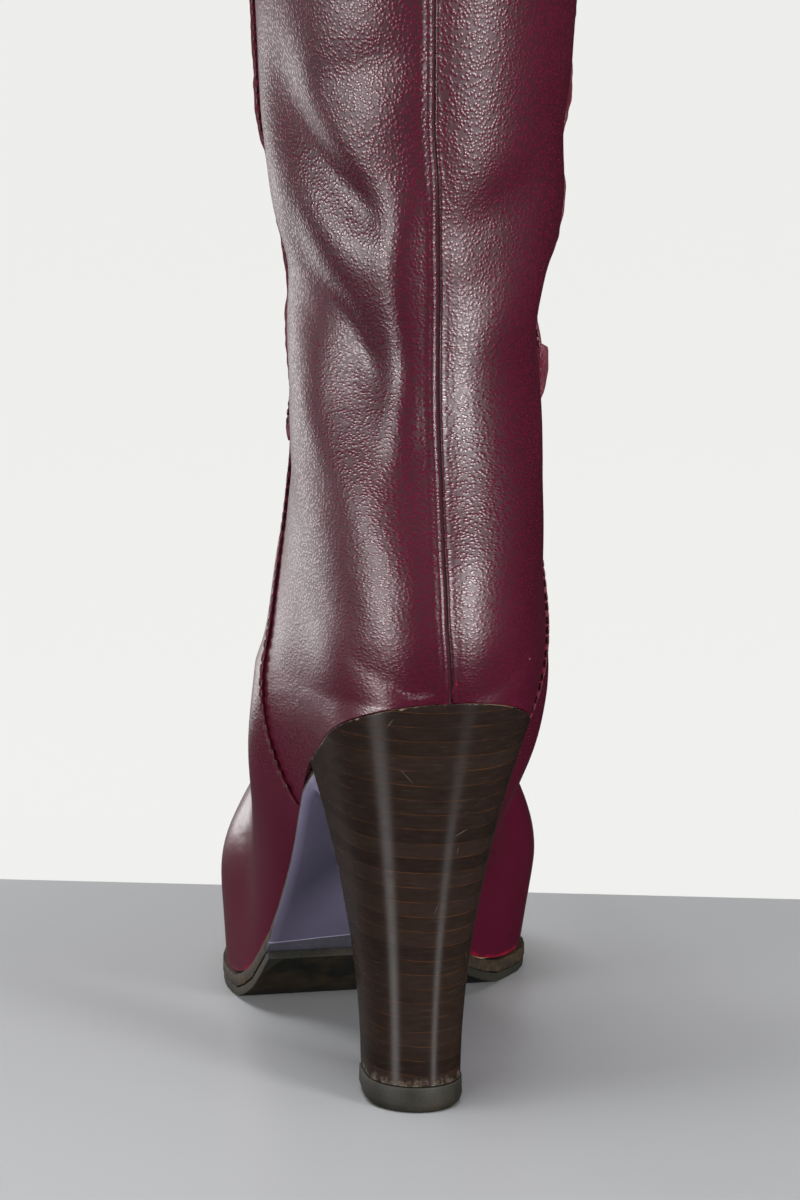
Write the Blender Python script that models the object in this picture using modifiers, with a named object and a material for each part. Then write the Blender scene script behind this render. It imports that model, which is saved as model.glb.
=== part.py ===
"""Left over-the-knee boot on a stacked block heel.

The boot stands on its half sole and its top piece, with the toe towards -Y and the outer side towards +X.
Sizes are in millimetres in the frame of the last: "along" runs forward from the back of the heel seat,
"across" runs to the outer side and "up" rises from the floor.
"""

import math
from collections import namedtuple

import bmesh
import bpy
from mathutils import Vector

MM = 0.001

# Driving sizes
SOLE_LENGTH = 222.0  # back of the heel seat to the toe tip, on the floor plan
BALL_HALF_WIDTH = 43.3
SEAT_HALF_WIDTH = 25.3
HEEL_HEIGHT = 104.0  # floor to the back of the heel seat
ANKLE_HEIGHT = 192.0  # floor to the front of the ankle, where foot turns into shaft
BOOT_HEIGHT = 632.0
CALF_HALF_WIDTH = 52.0

# Thicknesses and gaps
GAP = 0.3
WALL = 2.0  # outer leather and lining together
INSOLE = 2.2
OUTSOLE = 3.2
HALF_SOLE = 2.3
BREAST_FLAP = 1.4
TOP_PIECE = 6.5
SOLE_STACK = HALF_SOLE + GAP + OUTSOLE  # the seat line's height over the tread

# Heel block
BREAST_ALONG = 46.0
TIP_BACK = 9.5
TIP_FRONT = 35.5
TIP_HALF_WIDTH = 11.7
TIP_ROUND = 14.0
TIP_ACROSS = 2.0
HEEL_FLARE = 1.85  # power of the sweep from tip to seat

# Raised seams
SEAM_WIDTH = 2.2
SEAM_RISE = 1.7
SEAM_LIFT = 0.4

# Sole outline and toe
TOE_START = 0.64  # share of the length where the sides begin to round into the toe
SOLE_MARGIN = 1.0  # how far the outsole stands out past the upper at the forefoot
WAIST_MARGIN = 0.2
HALF_SOLE_BACK = 107.0
TOE_POWER = 2.0

# Mesh steps
SIDE_STEPS = 15  # faces from sole to instep ridge on each side of a section
HEEL_STEPS = 18
HEEL_LEVELS = 14

SeatRow = namedtuple("SeatRow", "along rise")
OutlineRow = namedtuple("OutlineRow", "along half centre")
FootRow = namedtuple("FootRow", "bottom top_along top_height overhang widest lean ridge steps")
ShaftRow = namedtuple(
    "ShaftRow", "back_along back_height front_along front_height half widest lean centre steps"
)

# The seat line, side view: share of the sole's length, and share of the heel's rise over the ball
SEAT_LINE = [
    SeatRow(0.000, 1.000),
    SeatRow(0.113, 0.891),
    SeatRow(0.225, 0.753),
    SeatRow(0.297, 0.607),
    SeatRow(0.387, 0.395),
    SeatRow(0.486, 0.153),
    SeatRow(0.545, 0.047),
    SeatRow(0.608, 0.000),
    SeatRow(0.739, 0.000),
    SeatRow(0.829, 0.016),
    SeatRow(0.919, 0.044),
    SeatRow(1.010, 0.085),
]

# The sole's plan before its two ends are rounded: share of the length, share of the ball's half width,
# and how far the middle lies across
OUTLINE = [
    OutlineRow(0.000, 0.584, -2.2),
    OutlineRow(0.125, 0.584, -2.2),
    OutlineRow(0.205, 0.582, -1.8),
    OutlineRow(0.273, 0.550, -1.2),
    OutlineRow(0.364, 0.500, -0.2),
    OutlineRow(0.445, 0.525, -0.6),
    OutlineRow(0.520, 0.645, -3.6),
    OutlineRow(0.590, 0.825, -9.4),
    OutlineRow(0.650, 0.955, -14.3),
    OutlineRow(0.710, 1.000, -17.2),
    OutlineRow(0.775, 1.000, -19.0),
    OutlineRow(0.835, 0.970, -20.7),
    OutlineRow(0.895, 0.920, -22.4),
    OutlineRow(1.010, 0.800, -25.0),
]

# Sections of the foot, fanned from the toe tip back to the rim of the heel: the bottom and top points
# (shares of SOLE_LENGTH and ANKLE_HEIGHT), how far the side swells past the sole, where up the section
# it is widest, how far that widest part leans across, and where the ridge lies across. "steps" is the
# number of rings up to the next row.
FOOT = [
    FootRow(0.9985, 0.998, 0.085, 0.3, 0.45, 0.0, -24.8, 1),
    FootRow(0.994, 0.993, 0.120, 0.8, 0.42, 0.0, -24.6, 1),
    FootRow(0.98, 0.975, 0.152, 1.2, 0.39, 0.0, -24.0, 1),
    FootRow(0.95, 0.938, 0.186, 1.6, 0.36, 0.0, -23.0, 1),
    FootRow(0.9, 0.880, 0.219, 1.8, 0.34, 0.0, -21.8, 2),
    FootRow(0.827, 0.798, 0.266, 1.8, 0.33, 0.0, -20.2, 2),
    FootRow(0.755, 0.714, 0.328, 1.6, 0.33, 0.0, -18.8, 2),
    FootRow(0.682, 0.639, 0.401, 1.4, 0.34, 0.0, -17.0, 2),
    FootRow(0.609, 0.575, 0.474, 1.8, 0.35, -0.5, -14.4, 2),
    FootRow(0.527, 0.520, 0.552, 4.6, 0.35, -1.8, -11.0, 2),
    FootRow(0.445, 0.477, 0.630, 11.2, 0.36, -3.4, -8.0, 2),
    FootRow(0.364, 0.446, 0.704, 16.2, 0.37, -4.4, -6.0, 2),
    FootRow(0.282, 0.423, 0.775, 15.0, 0.38, -4.2, -4.6, 2),
    FootRow(0.209, 0.408, 0.836, 10.4, 0.38, -3.8, -3.8, 2),
    FootRow(0.136, 0.400, 0.889, 7.4, 0.38, -3.2, -3.3, 2),
    FootRow(0.073, 0.395, 0.931, 5.6, 0.40, -2.4, -3.0, 2),
    FootRow(0.032, 0.394, 0.961, 4.7, 0.42, -1.9, -3.0, 2),
    FootRow(0.009, 0.393, 0.983, 4.3, 0.43, -1.5, -3.0, 1),
]

# Sections of the shaft from the rim of the heel up to the collar, in millimetres. The narrow ankle, the
# slack fold over it, the calf, the hollow of the knee and the wide collar each have a row.
SHAFT = [
    ShaftRow(0.0, HEEL_HEIGHT + GAP, 86.5, ANKLE_HEIGHT, 29.5, 0.44, -1.2, -2.2, 2),
    ShaftRow(-4.0, 118.0, 86.5, 198.0, 29.6, 0.46, -0.9, -2.3, 2),
    ShaftRow(-3.5, 132.0, 86.8, 205.0, 29.7, 0.48, -0.8, -2.4, 2),
    ShaftRow(0.5, 147.0, 87.2, 213.0, 30.6, 0.49, -0.8, -2.5, 2),
    ShaftRow(4.5, 162.0, 87.5, 221.0, 30.7, 0.50, -0.5, -2.6, 2),
    ShaftRow(6.5, 177.0, 87.8, 230.0, 30.7, 0.50, -0.4, -2.8, 2),
    ShaftRow(6.5, 192.0, 88.2, 240.0, 34.4, 0.50, -0.5, -3.0, 2),
    ShaftRow(4.5, 209.0, 89.0, 252.0, 37.0, 0.50, -0.2, -3.0, 2),
    ShaftRow(1.0, 231.0, 90.0, 267.0, 38.0, 0.50, 0.0, -3.0, 2),
    ShaftRow(-3.0, 256.0, 91.0, 286.0, 38.9, 0.50, 0.0, -3.0, 2),
    ShaftRow(-7.0, 288.0, 92.5, 309.0, 41.5, 0.50, 0.0, -3.0, 2),
    ShaftRow(-12.0, 325.0, 94.5, 338.0, 45.0, 0.50, 0.0, -3.0, 1),
    ShaftRow(-16.0, 368.0, 97.0, 375.0, 49.0, 0.50, 0.0, -3.0, 2),
    ShaftRow(-17.5, 410.0, 99.0, 410.0, CALF_HALF_WIDTH, 0.50, 0.0, -3.0, 1),
    ShaftRow(-15.0, 450.0, 101.0, 450.0, 51.8, 0.50, 0.0, -3.0, 1),
    ShaftRow(-9.5, 490.0, 103.0, 490.0, 51.0, 0.50, 0.0, -3.0, 1),
    ShaftRow(-6.0, 525.0, 106.0, 525.0, 51.8, 0.50, 0.0, -3.0, 1),
    ShaftRow(-6.0, 560.0, 109.5, 560.0, 54.6, 0.50, 0.0, -3.0, 1),
    ShaftRow(-8.0, 600.0, 113.0, 600.0, 58.0, 0.50, 0.0, -3.0, 1),
    ShaftRow(-9.5, BOOT_HEIGHT, 115.5, BOOT_HEIGHT, 60.0, 0.50, 0.0, -3.0, 0),
]

OPEN_HALF = 22.0  # sole half width above which a section's sides stand steep on the sole
TOP_POWER = 2.15  # roundness of the instep and shin, 2 is an ellipse

# Where the side seams run, side view, from the edge of the sole up to the collar
SeamStop = namedtuple("SeamStop", "along up")
LATERAL_SEAM = [
    SeamStop(66.5, 68.5),
    SeamStop(68.0, 80.0),
    SeamStop(68.5, 95.0),
    SeamStop(67.5, 115.0),
    SeamStop(65.0, 140.0),
    SeamStop(61.5, 180.0),
    SeamStop(59.5, 230.0),
    SeamStop(58.5, 300.0),
    SeamStop(57.5, 380.0),
    SeamStop(57.5, 450.0),
    SeamStop(58.5, 530.0),
    SeamStop(60.0, BOOT_HEIGHT - 0.5),
]
MEDIAL_SEAM = [
    SeamStop(60.0, 74.0),
    SeamStop(56.0, 86.0),
    SeamStop(51.0, 105.0),
    SeamStop(46.0, 130.0),
    SeamStop(42.5, 155.0),
    SeamStop(41.0, 180.0),
    SeamStop(42.0, 230.0),
    SeamStop(43.0, 300.0),
    SeamStop(44.0, 380.0),
    SeamStop(45.0, 450.0),
    SeamStop(47.0, 530.0),
    SeamStop(50.0, BOOT_HEIGHT - 0.5),
]
CROSS_SEAM_ROW = 18.6  # section that the cross seam over the ankle follows
CROSS_SEAM_CLEARANCE = 6.0  # degrees kept between the cross seam and the side seams
SEAM_POINTS = 60
SEAM_CROWDING = 1.5  # over 1 sets the points closer where the seam leaves the sole
CROSS_SEAM_POINTS = 20

Point = namedtuple("Point", "along up")


def smooth_curve(xs, ys):
    """A function through the points that bends smoothly and never swings past them."""
    slopes = [(ys[i + 1] - ys[i]) / (xs[i + 1] - xs[i]) for i in range(len(xs) - 1)]
    tangents = [slopes[0]]
    for before, after in zip(slopes, slopes[1:]):
        level = before * after <= 0
        tangents.append(0.0 if level else 2 * before * after / (before + after))
    tangents.append(slopes[-1])

    def value(x):
        i = max(k for k in range(len(slopes)) if k == 0 or xs[k] <= x)
        span = xs[i + 1] - xs[i]
        t = (x - xs[i]) / span
        rise = ys[i + 1] - ys[i]
        a = span * tangents[i] - rise
        b = rise - span * tangents[i + 1]
        return ys[i] + t * rise + t * (1 - t) * (a * (1 - t) + b * t)

    return value


def column(rows, name):
    return [getattr(row, name) for row in rows]


SEAT_RISE = smooth_curve(column(SEAT_LINE, "along"), column(SEAT_LINE, "rise"))
OUTLINE_HALF = smooth_curve(column(OUTLINE, "along"), column(OUTLINE, "half"))
OUTLINE_CENTRE = smooth_curve(column(OUTLINE, "along"), column(OUTLINE, "centre"))


def seat_height(along):
    share = min(max(along / SOLE_LENGTH, 0.0), SEAT_LINE[-1].along)
    return SOLE_STACK + SEAT_RISE(share) * (HEEL_HEIGHT - SOLE_STACK)


def seat_point(along, lift=0.0):
    """A point on the seat line, lifted square to it."""
    slope = (seat_height(along + 0.5) - seat_height(along - 0.5)) / 1.0
    length = math.hypot(1.0, slope)
    return Point(along - lift * slope / length, seat_height(along) + lift / length)


def full_half(along, margin=0.0):
    """Half width of the sole's plan with the toe rounded and the heel left square."""
    start = TOE_START * SOLE_LENGTH
    tip = SOLE_LENGTH + margin
    half = OUTLINE_HALF(along / SOLE_LENGTH) * BALL_HALF_WIDTH + margin
    if along > start:
        half *= math.sqrt(max(0.0, 1 - ((along - start) / (tip - start)) ** TOE_POWER))
    return half


def outline_half(along, margin=0.0):
    """Half width of the sole's plan with both ends rounded."""
    radius = SEAT_HALF_WIDTH + margin
    back = radius - margin - along
    half = full_half(along, margin)
    if back > 0:
        half *= math.sqrt(max(0.0, 1 - (back / radius) ** 2))
    return half


def outline_centre(along):
    return OUTLINE_CENTRE(along / SOLE_LENGTH)


def all_sections():
    """Columns over the rows of FOOT and SHAFT together, by row number."""
    names = "low top_along top_height half widest lean low_centre top_centre"
    columns = {name: [] for name in names.split()}
    for row in FOOT:
        bottom = row.bottom * SOLE_LENGTH
        columns["low"].append(bottom)
        columns["top_along"].append(row.top_along * SOLE_LENGTH)
        columns["top_height"].append(row.top_height * ANKLE_HEIGHT)
        columns["half"].append(full_half(bottom) + row.overhang)
        columns["widest"].append(row.widest)
        columns["lean"].append(row.lean)
        columns["low_centre"].append(outline_centre(bottom))
        columns["top_centre"].append(row.ridge)
    for row in SHAFT:
        columns["low"].append(row.back_along)
        columns["top_along"].append(row.front_along)
        columns["top_height"].append(row.front_height)
        columns["half"].append(row.half)
        columns["widest"].append(row.widest)
        columns["lean"].append(row.lean)
        columns["low_centre"].append(row.centre)
        columns["top_centre"].append(-3.0)
    numbers = list(range(len(FOOT) + len(SHAFT)))
    return {name: smooth_curve(numbers, values) for name, values in columns.items()}


SECTIONS = all_sections()
RIM_ROW = len(FOOT)  # the section whose back point is the rim of the heel
BACK_HEIGHT = smooth_curve(
    [RIM_ROW + i for i in range(len(SHAFT))], column(SHAFT, "back_height")
)


def section_line(row):
    """The bottom or back point and the top or front point of a section, side view."""
    low_along = SECTIONS["low"](row)
    low = seat_point(low_along, GAP) if row < RIM_ROW else Point(low_along, BACK_HEIGHT(row))
    return low, Point(SECTIONS["top_along"](row), SECTIONS["top_height"](row))


def upper_point(row, angle, side):
    """A point of the upper's outer face.

    angle runs from 0 at the sole or back seam to pi at the instep ridge or shin, side is 1 on the outer side.
    """
    low, high = section_line(row)
    low_half = outline_half(SECTIONS["low"](row)) if row < RIM_ROW else 0.0
    half = max(SECTIONS["half"](row), low_half)
    widest = SECTIONS["widest"](row)
    sine, cosine = math.sin(angle), math.cos(angle)
    if cosine > 0:
        steepness = 1 + min(1.0, low_half / OPEN_HALF)
        share = widest * (1 - cosine)
        spread = low_half + (half - low_half) * sine**steepness
    else:
        share = widest + (1 - widest) * (-cosine) ** (2 / TOP_POWER)
        spread = half * max(0.0, sine) ** (2 / TOP_POWER)
    blend = 0.5 - 0.5 * cosine
    centre = SECTIONS["low_centre"](row) * (1 - blend) + SECTIONS["top_centre"](row) * blend
    centre += SECTIONS["lean"](row) * sine**2
    along = low.along + (high.along - low.along) * share
    return place(along, centre + side * spread, low.up + (high.up - low.up) * share)


def row_and_angle(along, up):
    """The section through a point of the side view, and how far round it the point lies."""
    first, last = 0.0, len(FOOT) + len(SHAFT) - 1.0
    for _ in range(40):
        row = (first + last) / 2
        low, high = section_line(row)
        ahead = (high.along - low.along) * (up - low.up) > (high.up - low.up) * (along - low.along)
        first, last = (row, last) if ahead else (first, row)
    run, rise = high.along - low.along, high.up - low.up
    share = ((along - low.along) * run + (up - low.up) * rise) / (run * run + rise * rise)
    widest = SECTIONS["widest"](row)
    if share < widest:
        return row, math.acos(1 - max(share, 0.0) / widest)
    return row, math.acos(-(((share - widest) / (1 - widest)) ** (TOP_POWER / 2)))


def place(along, across, up):
    """From the last's frame to the scene's axes, in metres."""
    return Vector((across, -along, up)) * MM


def material(name, colour, roughness, metallic=0.0):
    made = bpy.data.materials.new(name)
    made.use_nodes = True
    shader = made.node_tree.nodes["Principled BSDF"]
    shader.inputs["Base Color"].default_value = (*colour, 1.0)
    shader.inputs["Roughness"].default_value = roughness
    shader.inputs["Metallic"].default_value = metallic
    return made


def add_object(name, mesh, finish, smooth_angle=40.0):
    obj = bpy.data.objects.new(name, mesh)
    bpy.data.collections[COLLECTION].objects.link(obj)
    obj.parent = bpy.data.objects[ROOT]
    mesh.materials.append(finish)
    mesh.shade_smooth()
    mesh.set_sharp_from_angle(angle=math.radians(smooth_angle))
    return obj


def mesh_from(name, shape):
    mesh = bpy.data.meshes.new(name)
    shape.to_mesh(mesh)
    shape.free()
    return mesh


def loft(name, rings, cap_strips=False):
    """A closed solid through rings of equally many points.

    Strip caps join the points that face each other, for a ring whose two halves mirror.
    """
    shape = bmesh.new()
    layers = [[shape.verts.new(point) for point in ring] for ring in rings]
    count = len(rings[0])
    for lower, upper in zip(layers, layers[1:]):
        for i in range(count):
            j = (i + 1) % count
            shape.faces.new((lower[i], lower[j], upper[j], upper[i]))
    for layer in (layers[0], layers[-1]):
        if not cap_strips:
            shape.faces.new(layer)
            continue
        for i in range(count // 2):
            corners = (layer[i], layer[i + 1], layer[-2 - i], layer[-1 - i])
            shape.faces.new(tuple(dict.fromkeys(corners)))
    bmesh.ops.recalc_face_normals(shape, faces=shape.faces)
    return mesh_from(name, shape)


def section_rows():
    """Row numbers of the upper's rings, closest where the toe and the heel turn."""
    rows = []
    for number, row in enumerate(FOOT + SHAFT):
        rows += [number + step / row.steps for step in range(row.steps)]
    return rows + [len(FOOT) + len(SHAFT) - 1]


def build_upper(finish):
    """One leather shell: an open surface from the sole's edge to the collar, thickened inwards."""
    shape = bmesh.new()
    angles = [math.pi * i / SIDE_STEPS for i in range(SIDE_STEPS + 1)]
    tip = seat_point(SOLE_LENGTH, GAP)
    rings = [[shape.verts.new(place(tip.along, outline_centre(SOLE_LENGTH), tip.up))] * (2 * SIDE_STEPS + 1)]
    for row in section_rows():
        outer = [shape.verts.new(upper_point(row, angle, 1)) for angle in angles]
        first_inner = 0 if row < RIM_ROW else 1
        inner = [shape.verts.new(upper_point(row, angle, -1)) for angle in angles[first_inner:-1]]
        if row >= RIM_ROW:
            inner.insert(0, outer[0])
        rings.append(outer + inner[::-1])
    for ring, following in zip(rings, rings[1:]):
        for i in range(2 * SIDE_STEPS):
            corners = (ring[i], following[i], following[i + 1], ring[i + 1])
            shape.faces.new(tuple(dict.fromkeys(corners)))
    obj = add_object("upper", mesh_from("upper", shape), finish, 60.0)
    wall = obj.modifiers.new("wall", "SOLIDIFY")
    wall.thickness = WALL * MM
    wall.offset = -1.0
    wall.use_even_offset = True
    return obj


def ribbon(name, stations, finish):
    """A flat piece through stations of (inner point, outer point, half width, centre)."""
    rings = []
    for inner, outer, half, centre in stations:
        corners = ((inner, 1), (outer, 1), (outer, -1), (inner, -1))
        rings.append([place(p.along, centre + side * half, p.up) for p, side in corners])
    return add_object(name, loft(name, rings), finish)


def plan_stations(front, back, count):
    """Places along the sole, closest at the rounded front end."""
    return [front + (back - front) * (1 - math.cos(math.pi / 2 * i / count)) for i in range(count + 1)]


def sole_margin(along):
    """The outsole stands out at the forefoot and is trimmed close at the waist."""
    blend = min(max((along - 88.0) / 30.0, 0.0), 1.0)
    blend = blend * blend * (3 - 2 * blend)
    return WAIST_MARGIN + (SOLE_MARGIN - WAIST_MARGIN) * blend


def sole_stations(front, back, count, top, bottom, inset=0.0):
    stations = []
    for along in plan_stations(front, back, count):
        half = outline_half(along, sole_margin(along) - inset)
        stations.append((seat_point(along, top), seat_point(along, bottom), half, outline_centre(along)))
    return stations


def build_insole(finish):
    margin = -(WALL + 2 * GAP)
    front, back = SOLE_LENGTH + margin - 0.1, -margin + 0.1
    middle = (front + back) / 2
    places = plan_stations(front, middle, 20) + plan_stations(back, middle, 20)[-2::-1]
    stations = []
    for along in places:
        low, high = seat_point(along, GAP), seat_point(along, GAP + INSOLE)
        stations.append((high, low, outline_half(along, margin), outline_centre(along)))
    return ribbon("insole", stations, finish)


def breast_along(up):
    """The heel's front face, side view."""
    low = TOP_PIECE + GAP
    share = (up - low) / (seat_height(BREAST_ALONG) - low)
    return TIP_FRONT + (BREAST_ALONG - TIP_FRONT) * max(share, 0.0) ** HEEL_FLARE


def breast_half(up):
    low = TOP_PIECE + GAP
    share = (up - low) / (seat_height(BREAST_ALONG) - low)
    tip, seat = tip_half(TIP_FRONT), outline_half(BREAST_ALONG)
    return tip + (seat - tip) * max(share, 0.0) ** HEEL_FLARE


def breast_centre(up):
    low = TOP_PIECE + GAP
    share = (up - low) / (seat_height(BREAST_ALONG) - low)
    return TIP_ACROSS + (outline_centre(BREAST_ALONG) - TIP_ACROSS) * max(share, 0.0) ** HEEL_FLARE


def meeting(start, start_way, end, end_way):
    """Where two lines in the side view cross."""
    cross = start_way.along * end_way.up - start_way.up * end_way.along
    step = ((end.along - start.along) * end_way.up - (end.up - start.up) * end_way.along) / cross
    return Point(start.along + step * start_way.along, start.up + step * start_way.up)


def flap_point(up, forward):
    return Point(breast_along(up) + forward, up)


def build_outsole(finish):
    """Leather sole from the toe along the arch, turned down over the breast of the heel."""
    turn_along, turn_up, turn_steps = 59.0, 67.0, 8
    flap_end, flap_steps, flap_inset = TOP_PIECE + 2 * GAP, 10, 0.3
    front = SOLE_LENGTH + SOLE_MARGIN - 0.1
    stations = sole_stations(front, turn_along, 34, 0.0, -OUTSOLE)
    arch = seat_point(turn_along, -OUTSOLE)
    before = seat_point(turn_along + 2.0, -OUTSOLE)
    flap = flap_point(turn_up, GAP + BREAST_FLAP)
    below = flap_point(turn_up - 2.0, GAP + BREAST_FLAP)
    apex = meeting(
        arch,
        Point(arch.along - before.along, arch.up - before.up),
        flap,
        Point(flap.along - below.along, flap.up - below.up),
    )
    arch_half, flap_half = stations[-1][2], breast_half(turn_up) - flap_inset
    arch_centre, flap_centre = outline_centre(turn_along), breast_centre(turn_up)
    corner_along = BREAST_ALONG + GAP
    for i in range(1, turn_steps):
        t = i / turn_steps
        weights = ((1 - t) ** 2, 2 * t * (1 - t), t * t)
        inner_turn = Point(
            sum(w * p.along for w, p in zip(weights, (arch, apex, flap))),
            sum(w * p.up for w, p in zip(weights, (arch, apex, flap))),
        )
        if t <= 0.5:
            seated = seat_point(turn_along + (corner_along - turn_along) * 2 * t)
        else:
            corner_up = seat_height(corner_along)
            seated = flap_point(corner_up + (turn_up - corner_up) * (2 * t - 1), GAP)
        half = arch_half + (flap_half - arch_half) * t
        stations.append((seated, inner_turn, half, arch_centre + (flap_centre - arch_centre) * t))
    for i in range(flap_steps + 1):
        up = turn_up + (flap_end - turn_up) * i / flap_steps
        half = breast_half(up) - flap_inset
        stations.append((flap_point(up, GAP), flap_point(up, GAP + BREAST_FLAP), half, breast_centre(up)))
    return ribbon("outsole", stations, finish)


def build_half_sole(finish):
    top = -(OUTSOLE + GAP)
    front = SOLE_LENGTH + SOLE_MARGIN - 0.4
    stations = sole_stations(front, HALF_SOLE_BACK, 30, top, top - HALF_SOLE, 0.3)
    return ribbon("half_sole", stations, finish)


def tip_half(along):
    """Half width of the heel's tip: a round back and sides that draw in a little to the breast."""
    back = TIP_BACK + TIP_ROUND - along
    if back > 0:
        return TIP_HALF_WIDTH * math.sqrt(max(0.0, 1 - (back / TIP_ROUND) ** 2))
    return TIP_HALF_WIDTH - 0.9 * (back / (TIP_FRONT - TIP_BACK - TIP_ROUND)) ** 2


def u_ring(front, back, half_at, centre_at, up_at):
    """A U of points from the outer front corner round the back to the inner front corner."""
    ring = []
    for i in range(-HEEL_STEPS, HEEL_STEPS + 1):
        along = back + (front - back) * (1 - math.cos(math.pi / 2 * abs(i) / HEEL_STEPS))
        side = -1 if i > 0 else 1
        ring.append((along, centre_at(along) + side * half_at(along), up_at(along)))
    return ring


def tip_ring(grow, up):
    """The outline of the heel's tip, grown or shrunk."""
    ring = u_ring(TIP_FRONT, TIP_BACK, tip_half, lambda along: TIP_ACROSS, lambda along: up)
    middle = (TIP_FRONT + TIP_BACK) / 2
    half_depth = (TIP_FRONT - TIP_BACK) / 2
    wide, deep = 1 + grow / TIP_HALF_WIDTH, 1 + grow / half_depth
    return [(middle + (a - middle) * deep, TIP_ACROSS + (c - TIP_ACROSS) * wide, u) for a, c, u in ring]


def build_heel(finish):
    """Stacked block that sweeps from the heel seat to the tip."""
    seat = u_ring(BREAST_ALONG, 0.0, outline_half, outline_centre, seat_height)
    tip = tip_ring(0.0, TOP_PIECE + GAP)
    rings = []
    for level in range(HEEL_LEVELS + 1):
        rise = level / HEEL_LEVELS
        sweep = rise**HEEL_FLARE
        ring = []
        for (along, across, up), (tip_along, tip_across, tip_up) in zip(seat, tip):
            ring.append(
                place(
                    tip_along + (along - tip_along) * sweep,
                    tip_across + (across - tip_across) * sweep,
                    tip_up + (up - tip_up) * rise,
                )
            )
        rings.append(ring)
    return add_object("heel", loft("heel", rings, cap_strips=True), finish)


def build_top_piece(finish):
    """Rubber lift with a rounded lower edge, a little wider than the heel above it."""
    profile = ((-0.9, 0.0), (-0.1, 0.7), (0.4, 2.2), (0.3, TOP_PIECE))
    rings = [[place(*point) for point in tip_ring(grow, up)] for grow, up in profile]
    return add_object("top_piece", loft("top_piece", rings, cap_strips=True), finish)


def surface_frame(row, angle, side):
    """A point of the upper and the way out of its face there."""
    step = 0.02
    here = upper_point(row, angle, side)
    up_way = upper_point(row + step, angle, side) - upper_point(row - step, angle, side)
    round_way = upper_point(row, angle + step, side) - upper_point(row, angle - step, side)
    return here, side * up_way.cross(round_way).normalized()


def raised_strip(name, path, finish):
    """A raw-edged seam that stands off the upper: a rounded bar along (row, angle, side) places."""
    frames = [surface_frame(*stop) for stop in path]
    half = SEAM_WIDTH / 2 * MM
    shape = ((-half, SEAM_LIFT), (-half, SEAM_RISE), (-half / 2, SEAM_RISE + 0.4))
    shape += tuple((-across, lift) for across, lift in shape[::-1])
    rings = []
    for i, (here, normal) in enumerate(frames):
        before, after = frames[max(i - 1, 0)][0], frames[min(i + 1, len(frames) - 1)][0]
        sideways = normal.cross((after - before).normalized()).normalized()
        rings.append([here + sideways * across + normal * lift * MM for across, lift in shape])
    return add_object(name, loft(name, rings), finish)


def side_seam_path(stops, side):
    ups = column(stops, "up")
    along = smooth_curve(ups, column(stops, "along"))
    path = []
    for i in range(SEAM_POINTS + 1):
        up = ups[0] + (ups[-1] - ups[0]) * (i / SEAM_POINTS) ** SEAM_CROWDING
        path.append((*row_and_angle(along(up), up), side))
    return path


def angle_where(path, row):
    """How far round a side seam lies where it crosses a section."""
    for (row_a, angle_a, _), (row_b, angle_b, _) in zip(path, path[1:]):
        if row_a <= row < row_b:
            return angle_a + (angle_b - angle_a) * (row - row_a) / (row_b - row_a)
    return math.pi / 2


def build_front_seam(lateral, medial, finish):
    """The cross seam over the front of the ankle, from one side seam to the other."""
    clear = math.radians(CROSS_SEAM_CLEARANCE)
    start = angle_where(lateral, CROSS_SEAM_ROW) + clear
    end = 2 * math.pi - angle_where(medial, CROSS_SEAM_ROW) - clear
    path = []
    for i in range(CROSS_SEAM_POINTS + 1):
        turned = start + (end - start) * i / CROSS_SEAM_POINTS
        side = 1 if turned <= math.pi else -1
        path.append((CROSS_SEAM_ROW, min(turned, 2 * math.pi - turned), side))
    return raised_strip("front_seam", path, finish)


def centre_on_floor(parts, root):
    """Moves the boot so that the middle of its box lies over the origin."""
    bpy.context.view_layer.update()
    graph = bpy.context.evaluated_depsgraph_get()
    corners = [Vector(c) for part in parts for c in part.evaluated_get(graph).bound_box]
    for axis in (0, 1):
        values = [corner[axis] for corner in corners]
        root.location[axis] = -(min(values) + max(values)) / 2
    bpy.context.view_layer.update()


COLLECTION = "over_the_knee_boot"
ROOT = "boot"


def main():
    for obj in list(bpy.data.objects):
        bpy.data.objects.remove(obj)
    bpy.context.scene.collection.children.link(bpy.data.collections.new(COLLECTION))
    root = bpy.data.objects.new(ROOT, None)
    bpy.data.collections[COLLECTION].objects.link(root)

    leather = material("burgundy leather", (0.105, 0.008, 0.024), 0.38)
    raw_edge = material("burgundy raw edge", (0.065, 0.008, 0.018), 0.7)
    sole_leather = material("violet painted sole leather", (0.075, 0.068, 0.125), 0.4)
    rubber = material("black rubber", (0.018, 0.018, 0.016), 0.7)
    stacked = material("stacked brown leather", (0.040, 0.024, 0.016), 0.35)
    sock = material("tan sock leather", (0.35, 0.22, 0.13), 0.6)

    lateral = side_seam_path(LATERAL_SEAM, 1)
    medial = side_seam_path(MEDIAL_SEAM, -1)
    parts = [
        build_upper(leather),
        raised_strip("lateral_seam", lateral, raw_edge),
        raised_strip("medial_seam", medial, raw_edge),
        build_front_seam(lateral, medial, raw_edge),
        build_insole(sock),
        build_outsole(sole_leather),
        build_half_sole(rubber),
        build_heel(stacked),
        build_top_piece(rubber),
    ]
    centre_on_floor(parts, root)


main()
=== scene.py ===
# Looks of a left over-the-knee boot: milled burgundy calf, raised raw-edge seams, a painted arch and a
# stacked leather heel. Sizes are in millimetres unless a name says otherwise; the toe points to -Y.
import math

import bpy
import numpy as np
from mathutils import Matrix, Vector, kdtree, noise
from mathutils.bvhtree import BVHTree


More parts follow.
